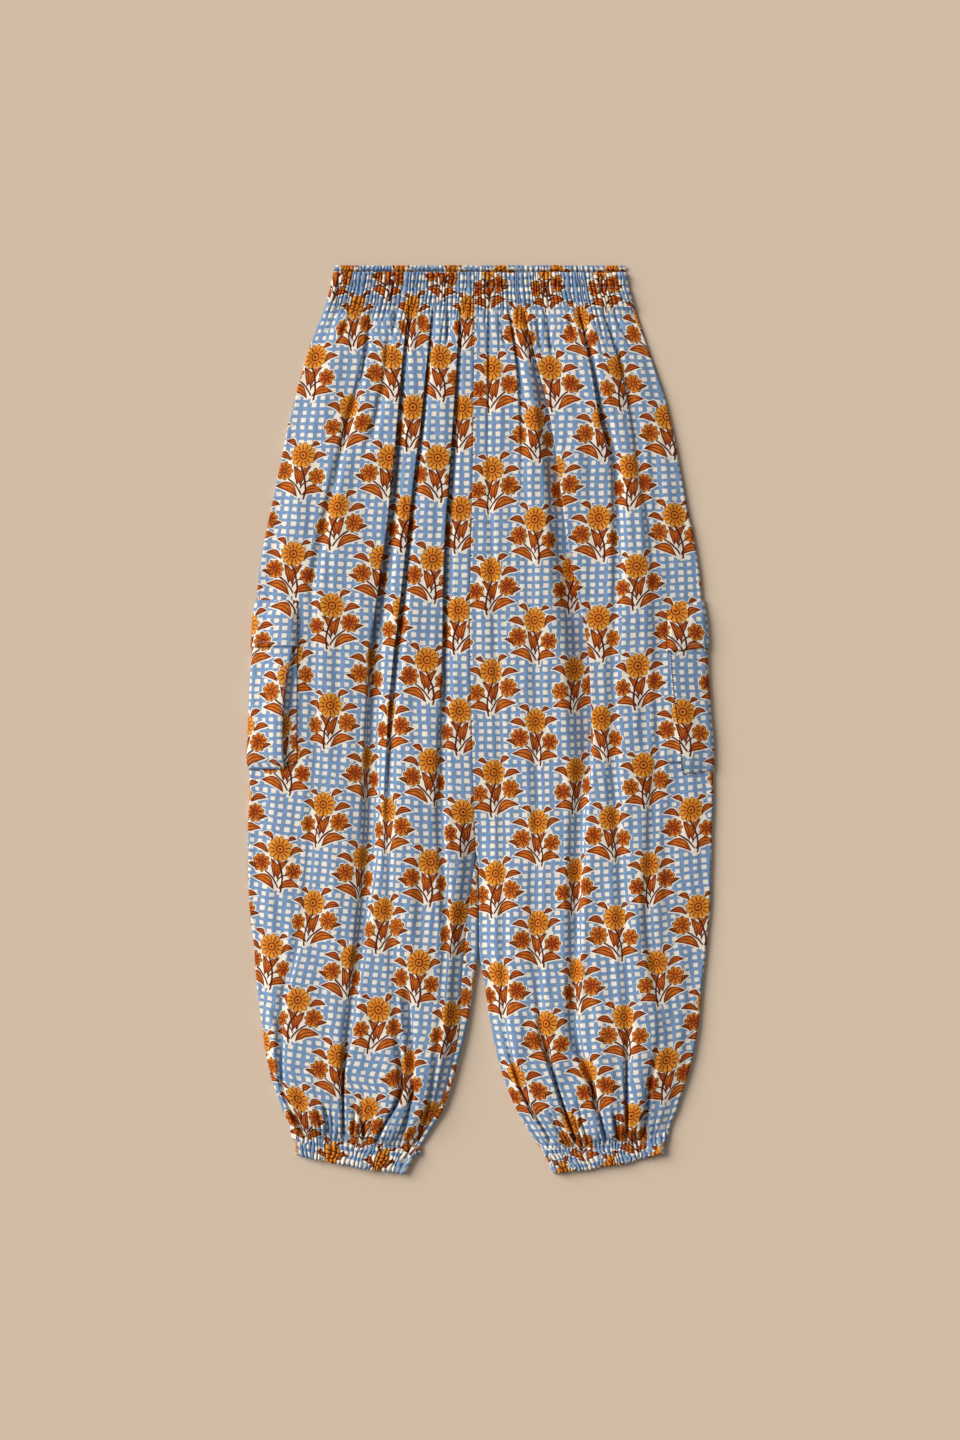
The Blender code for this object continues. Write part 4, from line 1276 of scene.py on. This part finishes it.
def with_rolled_ends(x, z, left, right):
    """Rows of a casing with a rounded end added on both sides."""
    angles = np.linspace(-20, 80, END_STEPS)[None]
    start_x, start_z = rolled_casing(left, 1, angles, z[:, :1])
    end_x, end_z = rolled_casing(right, -1, angles[:, ::-1], z[:, -1:])
    return np.concatenate((start_x, x, end_x), 1), np.concatenate((start_z, z, end_z), 1)


def band_print(share, height):
    """Print coordinates along a band, as those of its left and of its right half."""
    return (-waist_cloth("left", share, height), waist_cloth("right", share, height))


def corner_print(left, right, v, middle):
    """Spread print coordinates to face corners, taking a half's own on each side."""
    rows, columns = left.shape
    first = np.arange(columns - 1)
    half = first < middle
    corners = []
    for down, step in ((0, 0), (1, 0), (1, 1), (0, 1)):
        row = slice(down, rows - 1 + down)
        u = np.where(half, left[row, step:columns - 1 + step] + PRINT_SHIFT["left"][0],
                     right[row, step:columns - 1 + step] + PRINT_SHIFT["right"][0])
        shift_v = np.where(half, PRINT_SHIFT["left"][1], PRINT_SHIFT["right"][1])
        corners.append(np.stack((u, v[row, step:columns - 1 + step] + shift_v), 2))
    return np.stack(corners, 2)


def front_band():
    """Front casing: a heading above the pinched line of stitches, elastic below it."""
    heights, sunk = band_rows()
    left = BAND_ENDS.at("left", heights) + 0.4
    right = BAND_ENDS.at("right", heights) - 0.4
    x = blend(left + CASING_ROLL, right - CASING_ROLL, np.linspace(0, 1, BAND_POINTS)[None])
    share = (x - left) / (right - left)
    away = ease((heights - WAIST_SEAM - LAP) / 10)
    drift = 0.0035 * Noise(41).at(share * 60, heights / 9) * away
    noise = Noise(42)
    lift = WAIST_FOLDS.lift(share + drift)
    uneven = 1 + 0.35 * noise.at(share * 45, heights / 14) * away
    z = WAIST_LEVEL + BAND.at("lift", heights) + BAND.at("wave", heights) * lift * uneven
    z += np.minimum((heights - WAIST_SEAM) / LAP, 1) * LAP_SINK * (1 - away) - sunk
    x, z = with_rolled_ends(x, z, left, right)
    v = np.repeat(heights, x.shape[1], 1)
    top = ease((heights - (FRONT_WAIST - 10)) / 10)
    y = v + top * 0.9 * noise.at(x / 17, 0.3)
    y[:, END_STEPS:-END_STEPS] += top * 0.45 * lift
    middle = int(np.argmin(np.abs(x[-1] - SEAM_X - SWAY.at("shift", WAIST_SEAM))))
    ends = ((0, 0), (END_STEPS, END_STEPS))
    share = (x - left) / (right - left) + np.pad(drift, ends, mode="edge")
    u_left, u_right = band_print(share, WAIST_SEAM + 0 * x)
    return np.stack((x, y, z), 2), corner_print(u_left, u_right, v, middle)


def back_band():
    """Back casing, seen from inside above the front one."""
    strip, hidden = BACK_WAIST - INSIDE_STRIP, BACK_WAIST - INSIDE_HIDDEN
    heights = np.concatenate((np.linspace(BACK_WAIST, strip, 12),
                              np.linspace(hidden, WAIST_SEAM + 0.2, 8)))[:, None]
    share = np.linspace(0, 1, BACK_POINTS)[None]
    x = blend(BAND_ENDS.at("left", heights), BAND_ENDS.at("right", heights), share)
    noise = Noise(43)
    near_end = ease(share / 0.02) * ease((1 - share) / 0.02)
    wave = blend(0.75, 0.25, ease((BACK_WAIST - 10 - heights) / 15)) * near_end
    gathers = Gathers(BACK_GATHERS, 23, 10, 20)
    lift = gathers.lift(share + 0.003 * noise.at(share * 60, heights / 6))
    dip = ease((BACK_WAIST - 3.6 - heights) / 3)
    z = np.maximum(blend(4.0, 0.8, dip) + wave * lift - 1.2 * (1 - near_end), 0.55)
    y = np.repeat(heights, x.shape[1], 1)
    y += ease((heights - strip) / INSIDE_STRIP) * (0.35 * noise.at(x / 14, 0.7) + 0.3 * lift)
    shift_u, shift_v = INSIDE_SHIFT
    u_left, u_right = band_print(share + 0 * x, WAIST_SEAM + 0 * x)
    cloth = corner_print(u_left + shift_u, u_right + shift_u, y + shift_v, BACK_POINTS // 2)
    return np.stack((x, y, z), 2), cloth


class TROUSERS_OT_waist(bpy.types.Operator):
    """Make the gathered casings of the waist"""
    bl_idname = "trousers.waist"
    bl_label = "Waist Casings"

    def execute(self, context):
        wall = context.scene.trousers_cloth.casing_wall
        for side, grid, on in (("front", front_band, "waistband_back"),
                               ("back", back_band, "floor")):
            points, cloth = grid()
            obj = cloth_object("waist_casing_" + side, points, cloth, wall)
            dress(obj, "waistband_" + side, material("casing_cloth"))
        return {"FINISHED"}


# ------------------------------------------------------------ the cuffs

CUFF_LENGTH = 21.0
CUFF_BOTTOM = 0.5              # middle of a cuff's underside above the floor
TOP_POINTS = 320
UNDER_POINTS = 60


def cuff_top(leg, share, along, down):
    """Heights of a cuff's gathered top, and how far its gathers drift sideways."""
    noise = Noise(61 if leg == "left" else 62)
    away = ease(down / 0.35)
    drift = 0.02 * noise.at(share * 13, down * 2.3) * away
    wave = CUFF_WAVE * (1 + 0.6 * noise.at(share * 19, down * 3 + 5) * away)
    wave *= blend(1, 0.75, ease((down - 0.35) / 0.3)) + 0.45 * ease((down - 0.7) / 0.3)
    top = CUFF_LEVEL - 0.5 * (1 - away) + wave * CUFF_FOLDS[leg].lift(along + drift)
    top += 0.9 * noise.at(share * 7 + 3, down * 1.5) * away - 1.2 * ease((down - 0.9) / 0.1)
    top += LAP_SINK * np.minimum(down, 0) * CUFF_LENGTH / LAP
    hem = ease((down - 0.55) / 0.45)
    hem = hem * (1.1 * noise.at(share * 13, 0.2) - 1.2 * CUFF_FOLDS[leg].lift(along))
    return top, drift, hem


def round_end(top, turn):
    """Heights round the end of a cuff, between its top and its underside."""
    return (top + CUFF_BOTTOM) / 2 + (top - CUFF_BOTTOM) / 2 * np.sin(turn)


def cuff_grid(leg):
    """A flattened ring, gathered on top. Its columns run to the right on the top."""
    corners = CUFFS[leg]
    lapped = -LAP / CUFF_LENGTH
    down = np.concatenate(([lapped, lapped / 2], np.linspace(0, 1, 18)))[:, None]
    side = [blend(corners.side_top[i], corners.side_bottom[i], down) for i in (0, 1)]
    middle = [blend(corners.middle_top[i], corners.middle_bottom[i], down) for i in (0, 1)]
    width = np.abs(middle[0] - side[0])
    end = (CASING_ROLL + 0.5) / width
    share = np.linspace(0, 1, TOP_POINTS)[None]
    along = blend(end, 1 - end, share)
    top, drift, hem = cuff_top(leg, share, along, down)
    turn = np.radians(np.linspace(60, -60, END_STEPS))[None]
    roll = CASING_ROLL * np.cos(turn) / width
    under = np.repeat(np.linspace(1, 0, UNDER_POINTS)[None], len(down), 0)
    shares = np.concatenate((along, 1 - end + roll, blend(end, 1 - end, under),
                             end - roll[:, ::-1]), 1)
    z = np.concatenate((top, round_end(top[:, -1:], turn), np.full_like(under, CUFF_BOTTOM),
                        round_end(top[:, :1], -turn)), 1)
    x = blend(side[0], middle[0], shares)
    y = blend(side[1], middle[1], shares) - CUFF_BELLY * 4 * shares * (1 - shares)
    y[:, :TOP_POINTS] += hem
    cloth_width = CLOTH_WIDTH.at("width", -480)
    u = np.empty_like(x)
    u[:, :TOP_POINTS] = cloth_width * (1 - CUFF_FOLDS[leg].cloth(along + drift))
    rest = x.shape[1] - TOP_POINTS
    u[:, TOP_POINTS:] = -np.arange(1, rest + 1) / (rest + 1) * cloth_width
    v = corners.middle_top[1] - down * CUFF_LENGTH + 0 * u
    points, cloth = np.stack((x, y, z), 2), np.stack((u * -INWARD[leg], v), 2)
    if leg == "right":
        return points[:, ::-1], cloth[:, ::-1]
    return points, cloth


class TROUSERS_OT_cuffs(bpy.types.Operator):
    """Make the gathered cuffs"""
    bl_idname = "trousers.cuffs"
    bl_label = "Cuffs"

    def execute(self, context):
        wall = context.scene.trousers_cloth.casing_wall
        for leg in LEGS:
            points, cloth = cuff_grid(leg)
            obj = cloth_object("cuff_casing_" + leg, points, shifted(cloth, leg), wall,
                               closed=True)
            dress(obj, "cuff_" + leg, material("casing_cloth"))
        return {"FINISHED"}


# ------------------------------------------------------------ the pockets

def smoothed(values, reach):
    """Moving average that takes in this many values on both sides."""
    count = 2 * reach + 1
    return np.convolve(np.pad(values, reach, mode="edge"), np.ones(count) / count, "valid")


class Skin:
    """The front panel near its side at one height, to lay pocket pieces on."""

    def __init__(self, leg, height):
        x, z = leg_shape(leg).section(height)
        keep = np.abs(x) > POCKET_ZONE
        x, z = x[keep], z[keep]
        z = np.maximum(z, smoothed(z, 3))
        self.inward = INWARD[leg]
        self.x, self.z = x, z
        self.long = run_length(x, z)
        dx, dz = np.gradient(x), np.gradient(z)
        size = np.hypot(dx, dz)
        self.out_x = smoothed(-dz / size * self.inward, 2)
        self.out_z = smoothed(dx / size * self.inward, 2)

    def reach(self, x):
        """Length along the skin, past its side, at which it is at x."""
        inward = self.inward * self.x[ROLL_STEPS:]
        return float(np.interp(self.inward * x, inward, self.long[ROLL_STEPS:]))

    def off(self, long, distance):
        """Points at lengths along the skin, moved out of it."""
        x, z, nx, nz = (np.interp(long, self.long, values)
                        for values in (self.x, self.z, self.out_x, self.out_z))
        return x + nx * distance, z + nz * distance


def stand_off(leg, height, share):
    """How far a pocket's face stands off the leg, at a share from its side to its edge."""
    table = POCKET_TABLES[leg]
    return blend(table.at("side", height), table.at("front", height), ease(share))


def pocket_rows(leg, heights, row_of):
    """Grid of pocket points, one skin section for each height."""
    return np.array([row_of(Skin(leg, height), height, k)
                     for k, height in enumerate(heights)])


def grounded(leg, x, y, z, foot):
    """A row of points with one more at its start, at the side of the leg near the floor."""
    first = (x[0] - INWARD[leg] * 0.2, y[0], foot)
    return np.vstack(([first], np.stack((x, y, z), 1)))


def pocket_print(points, leg, shift):
    """Print coordinates for a pocket piece, by its own lengths."""
    total = run_length(points[..., 0], points[..., 2])
    return np.stack((total * INWARD[leg] + shift[0], points[..., 1] + shift[1]), 2)


def leg_print(points, leg):
    """Print coordinates of the front panel under a pocket piece."""
    cloth = np.empty(points.shape[:2] + (2,))
    for k, row in enumerate(points):
        x, u, v = leg_shape(leg).section(row[0, 1], ("x", "u", "v"))
        order = np.argsort(x[ROLL_STEPS:]) + ROLL_STEPS
        cloth[k, :, 0] = -INWARD[leg] * np.interp(row[:, 0], x[order], u[order])
        cloth[k, :, 1] = np.interp(row[:, 0], x[order], v[order])
    return shifted(cloth, leg)


POCKET_PRINT = {"left": (2120.0, 3010.0), "right": (2210.0, 3050.0)}


def face_grid(leg):
    """Points of a pocket's face, from the side of the leg to its free edge."""
    lines = POCKET_LINES[leg]
    heights = np.linspace(FACE_TOP, np.mean(lines.face_bottom), FACE_POINTS[0])
    noise = Noise(71 if leg == "left" else 72)

    def row(skin, height, k):
        down = k / (len(heights) - 1)
        edge = skin.reach(POCKET_TABLES[leg].at("edge", height))
        long = np.linspace(0, edge, FACE_POINTS[1])
        share = long / edge
        closing = ease((down - 0.93) / 0.07)
        distance = blend(stand_off(leg, height, share), FACE_FOOT, closing * 0.8)
        distance = distance + 0.35 * noise.at(long / 9, height / 16) * ease(share / 0.1)
        distance[-len(EDGE_TURN):] -= EDGE_TURN
        x, z = skin.off(long, distance)
        tilt = blend(lines.face_bottom[0], lines.face_bottom[1], share)
        y = height + down * (tilt - np.mean(lines.face_bottom))
        return grounded(leg, x, y, z, 0.45)

    return pocket_rows(leg, heights, row)


def gusset_grid(leg):
    """Points of the strip between a pocket's face and the leg."""
    lines = POCKET_LINES[leg]
    heights = np.linspace(FACE_TOP - 1, GUSSET_BOTTOM, GUSSET_POINTS[0])
    noise = Noise(75)

    def row(skin, height, k):
        edge_x = POCKET_TABLES[leg].at("edge", height)
        raised = POCKET_TABLES[leg].at("front", height) - 1.3
        start = skin.reach(edge_x - INWARD[leg] * UNDER_EDGE)
        end = skin.reach(lines.stitch)
        share = np.linspace(0, 1, GUSSET_POINTS[1])
        distance = blend(raised, LAID_ON - 0.4, ease(share * 2) ** 0.7)
        distance += 0.25 * noise.at(share * 3, height / 9) * share * (1 - share) * 4
        x, z = skin.off(blend(start, end, share), distance)
        return np.stack((x, np.full_like(x, height), z), 1)

    return pocket_rows(leg, heights, row)


def flap_grid(leg):
    """Points of a pocket's flap, laid over the top of its face."""
    lines = POCKET_LINES[leg]
    heights = np.linspace(np.mean(lines.flap_top), np.mean(lines.flap_bottom), FLAP_POINTS[0])
    noise = Noise(77)

    def row(skin, height, k):
        down = k / (len(heights) - 1)
        edge = skin.reach(POCKET_TABLES[leg].at("edge", min(height, FACE_TOP)))
        end = skin.reach(lines.stitch + INWARD[leg] * 0.8)
        long = np.linspace(0, end, FLAP_POINTS[1])
        face = stand_off(leg, min(height, FACE_TOP), np.clip(long / edge, 0, 1))
        over = blend(face, LAID_ON, ease((long - edge + 3) / (end - edge + 3)))
        distance = blend(LAID_ON, over + FLAP_CLEAR, ease(down / 0.42))
        distance = distance + 0.3 * noise.at(long / 11, height / 9) * ease(down / 0.3)
        if k == len(heights) - 1:
            distance -= 0.5
        distance[-1] -= 0.6
        x, z = skin.off(long, distance)
        top = blend(lines.flap_top[0], lines.flap_top[1], long / end)
        bottom = blend(lines.flap_bottom[0], lines.flap_bottom[1], long / end)
        return grounded(leg, x, blend(top, bottom, down), z, blend(0.9, 0.5, down))

    return pocket_rows(leg, heights, row)


POCKET_PIECES = (
    ("face", face_grid, (0.058, 0.155), "laid"),
    ("gusset", gusset_grid, (0.013, 0.145), "folded"),
    ("flap", flap_grid, (0.065, 0.052), "laid"),
)


class TROUSERS_OT_pockets(bpy.types.Operator):
    """Make the bellows pockets on the sides of the legs"""
    bl_idname = "trousers.pockets"
    bl_label = "Side Pockets"

    def execute(self, context):
        wall = context.scene.trousers_cloth.casing_wall
        for leg in LEGS:
            for part, grid, flat, held in POCKET_PIECES:
                points = grid(leg)
                cloth = (leg_print(points, leg) if (part, leg) == ("gusset", "right")
                         else pocket_print(points, leg, POCKET_PRINT[leg]))
                if leg == "right":
                    points, cloth = points[:, ::-1], cloth[:, ::-1]
                obj = cloth_object(f"pocket_{part}_cloth_{leg}", points, cloth, wall)
                dress(obj, f"pocket_{part}_{leg}", material("cotton_cloth"))
        return {"FINISHED"}


# ------------------------------------------------------------ the sewing

STITCH = 2.0                   # length of a stitch
STITCH_GAP = 0.9
THREAD = 0.28                  # half width of the thread
PAINTED_SHADE_THREAD = 0.8              # the same for the brown stitches along the right pocket's edge, which are painted shade for the shaded gap under that edge


def stitch_model():
    """One stitch, 1 long along X, as points and faces: a thin rod with bevelled ends."""
    deselect_all()
    bpy.ops.mesh.primitive_cylinder_add(vertices=6, radius=1, depth=1,
                                        rotation=(0, math.pi / 2, 0))
    obj = bpy.context.active_object
    bpy.ops.object.transform_apply(location=True, rotation=True, scale=True)
    bpy.ops.object.mode_set(mode="EDIT")
    bpy.ops.mesh.select_all(action="SELECT")
    bpy.ops.mesh.bevel(offset=0.35, offset_type="OFFSET", segments=1, affect="EDGES")
    bpy.ops.object.mode_set(mode="OBJECT")
    points = np.array([v.co for v in obj.data.vertices])
    faces = [tuple(p.vertices) for p in obj.data.polygons]
    bpy.data.objects.remove(obj, do_unlink=True)
    return points, faces


def stitch_ends(line):
    """Both ends of each stitch along a line of points."""
    step = np.linalg.norm(np.diff(line, axis=0), axis=1)
    along = np.concatenate(([0], np.cumsum(step)))
    for start in np.arange(STITCH_GAP, along[-1] - STITCH, STITCH + STITCH_GAP):
        yield [np.array([np.interp(s, along, line[:, i]) for i in range(3)])
               for s in (start, start + STITCH)]


def placed(model, ends, lift, half):
    """Points of one stitch from end to end, lifted off the cloth under it."""
    forward = ends[1] - ends[0]
    size = np.linalg.norm(forward)
    forward /= size
    side = np.cross((0, 0, 1), forward)
    side /= np.linalg.norm(side)
    up = np.cross(forward, side)
    middle = (ends[0] + ends[1]) / 2 + up * lift
    return (middle + model[:, :1] * size * forward
            + model[:, 1:2] * half * side + model[:, 2:] * half * up)


def stitches(name, lines, lift, half):
    """Stitches along lines of points, as one mesh."""
    model, faces = stitch_model()
    points, polygons = [], []
    for line in lines:
        for ends in stitch_ends(line):
            polygons += [tuple(len(points) + i for i in face) for face in faces]
            points += placed(model, ends, lift, half).tolist()
    mesh = bpy.data.meshes.new(name)
    mesh.from_pydata((np.array(points) * MM).tolist(), [], polygons)
    return add_object(name, mesh)


def waist_lines():
    """The line that pinches the front casing."""
    band = front_band()[0]
    row = int(np.argmin(np.abs(band[:, BAND_POINTS // 2, 1] - PINCH_LINE)))
    return [band[row, 10:-10]]


def cuff_lines():
    """A line near the top of each cuff."""
    tops = {"left": slice(None, TOP_POINTS), "right": slice(-TOP_POINTS, None)}
    return [cuff_grid(leg)[0][4, tops[leg]][3:-3] for leg in LEGS]


def pocket_lines():
    """Lines along the lower edges of the pockets, and the left one's free edge."""
    lines = []
    for leg in LEGS:
        face, flap = face_grid(leg), flap_grid(leg)
        lines += [flap[-4, 6:-6], face[-4, 6:-6]]
        if leg == "left":
            lines.append(face[3:-3, -3])
    return lines


def painted_shade_lines():
    """Lines along the front edges of the right pocket's face and flap, where brown stitches are
    painted shade for the shaded gap under those edges.
    """
    return [face_grid("right")[1:-1, -1], flap_grid("right")[1:-1, -1]]


# Each set of stitches: its name, its lines, how far it stands off them, half the width of
# its thread, its finish and its slot
Stitching = namedtuple("Stitching", "name lines lift half finish slot")
SEWING = (
    Stitching("stitches_waist", waist_lines, 0.65, THREAD, "thread", CASING_SLOT),
    Stitching("stitches_cuffs", cuff_lines, 0.65, THREAD, "thread", CASING_SLOT),
    Stitching("stitches_pockets", pocket_lines, 0.6, THREAD, "thread", COTTON_SLOT),
    # brown stitches along the right pocket's edge: painted shade standing in for the shaded gap
    # under the face's edge
    Stitching("stitches_pocket_edge", painted_shade_lines, 1.1, PAINTED_SHADE_THREAD, "dark_thread", COTTON_SLOT),
)


class TROUSERS_OT_sewing(bpy.types.Operator):
    """Sew the lines of stitches"""
    bl_idname = "trousers.sewing"
    bl_label = "Stitches"

    def execute(self, context):
        for sewn in SEWING:
            obj = stitches(sewn.name, sewn.lines(), sewn.lift, sewn.half)
            dress(obj, None, material(sewn.finish))
        return {"FINISHED"}


# ------------------------------------------------------------ the stage

class TROUSERS_OT_stage(bpy.types.Operator):
    """Make the floor, the light and the camera"""
    bl_idname = "trousers.stage"
    bl_label = "Studio"

    FLOOR_SIZE = 8.0
    FLOOR_DEPTH = -0.0002
    CENTRE = (-0.0003, -0.0006)    # what the picture's middle looks at
    KEY_ELEVATION = 33.0
    KEY_AZIMUTH = 152.0            # from +X, anticlockwise: the light comes from upper left
    KEY_SPREAD = 42.0
    KEY_STRENGTH = 4.24
    KEY_COLOUR = (1.0, 0.985, 0.96)
    FILL_STRENGTH = 0.268

    def execute(self, context):
        stage = context.scene.trousers_stage
        deselect_all()
        bpy.ops.mesh.primitive_grid_add(x_subdivisions=8, y_subdivisions=8,
                                        size=self.FLOOR_SIZE,
                                        location=(0, 0, self.FLOOR_DEPTH))
        floor = bpy.context.active_object
        floor.name = "floor"
        bpy.ops.object.transform_apply(location=True)
        floor.data.materials.append(material("floor"))
        self.light_up(context)
        context.scene.view_settings.view_transform = "Standard"
        camera = bpy.data.objects.new("camera", bpy.data.cameras.new("camera"))
        context.scene.collection.objects.link(camera)
        camera.location = (*self.CENTRE, stage.distance)
        camera.data.lens = camera.data.sensor_width * stage.distance / stage.frame_height
        camera.data.clip_end = 50
        context.scene.camera = camera
        return {"FINISHED"}

    def light_up(self, context):
        """Add a broad sun and an even fill."""
        sun = bpy.data.lights.new("key", "SUN")
        sun.energy = self.KEY_STRENGTH
        sun.angle = math.radians(self.KEY_SPREAD)
        sun.color = self.KEY_COLOUR
        key = bpy.data.objects.new("key", sun)
        context.scene.collection.objects.link(key)
        key.rotation_euler = (0, math.radians(90 - self.KEY_ELEVATION),
                              math.radians(self.KEY_AZIMUTH))
        world = bpy.data.worlds.new("studio")
        world.use_nodes = True
        sky = world.node_tree.nodes["Background"]
        sky.inputs["Color"].default_value = (1, 1, 1, 1)
        sky.inputs["Strength"].default_value = self.FILL_STRENGTH
        context.scene.world = world


class TROUSERS_PT_panel(bpy.types.Panel):
    """Lists the pieces in the sidebar"""
    bl_label = "Cuffed Trousers"
    bl_idname = "TROUSERS_PT_panel"
    bl_space_type = "VIEW_3D"
    bl_region_type = "UI"
    bl_category = "Trousers"

    def draw(self, context):
        for settings in (context.scene.trousers_cloth, context.scene.trousers_print,
                         context.scene.trousers_stage):
            box = self.layout.box()
            for name in settings.__annotations__:
                box.prop(settings, name)
        for operator in OPERATORS:
            self.layout.operator(operator.bl_idname)


OPERATORS = (TROUSERS_OT_front_legs, TROUSERS_OT_back_legs, TROUSERS_OT_waist,
             TROUSERS_OT_cuffs, TROUSERS_OT_pockets, TROUSERS_OT_sewing, TROUSERS_OT_stage)
SETTINGS = {"trousers_cloth": TROUSERS_cloth, "trousers_print": TROUSERS_print,
            "trousers_stage": TROUSERS_stage}


def register():
    for group in (*SETTINGS.values(), *OPERATORS, TROUSERS_PT_panel):
        bpy.utils.register_class(group)
    for name, group in SETTINGS.items():
        setattr(bpy.types.Scene, name, PointerProperty(type=group))


def unregister():
    for name in SETTINGS:
        delattr(bpy.types.Scene, name)
    for group in reversed((*SETTINGS.values(), *OPERATORS, TROUSERS_PT_panel)):
        bpy.utils.unregister_class(group)


def main():
    register()
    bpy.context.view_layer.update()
    for operator in OPERATORS:
        group, name = operator.bl_idname.split(".")
        getattr(getattr(bpy.ops, group), name)()


if __name__ == "__main__":
    main()
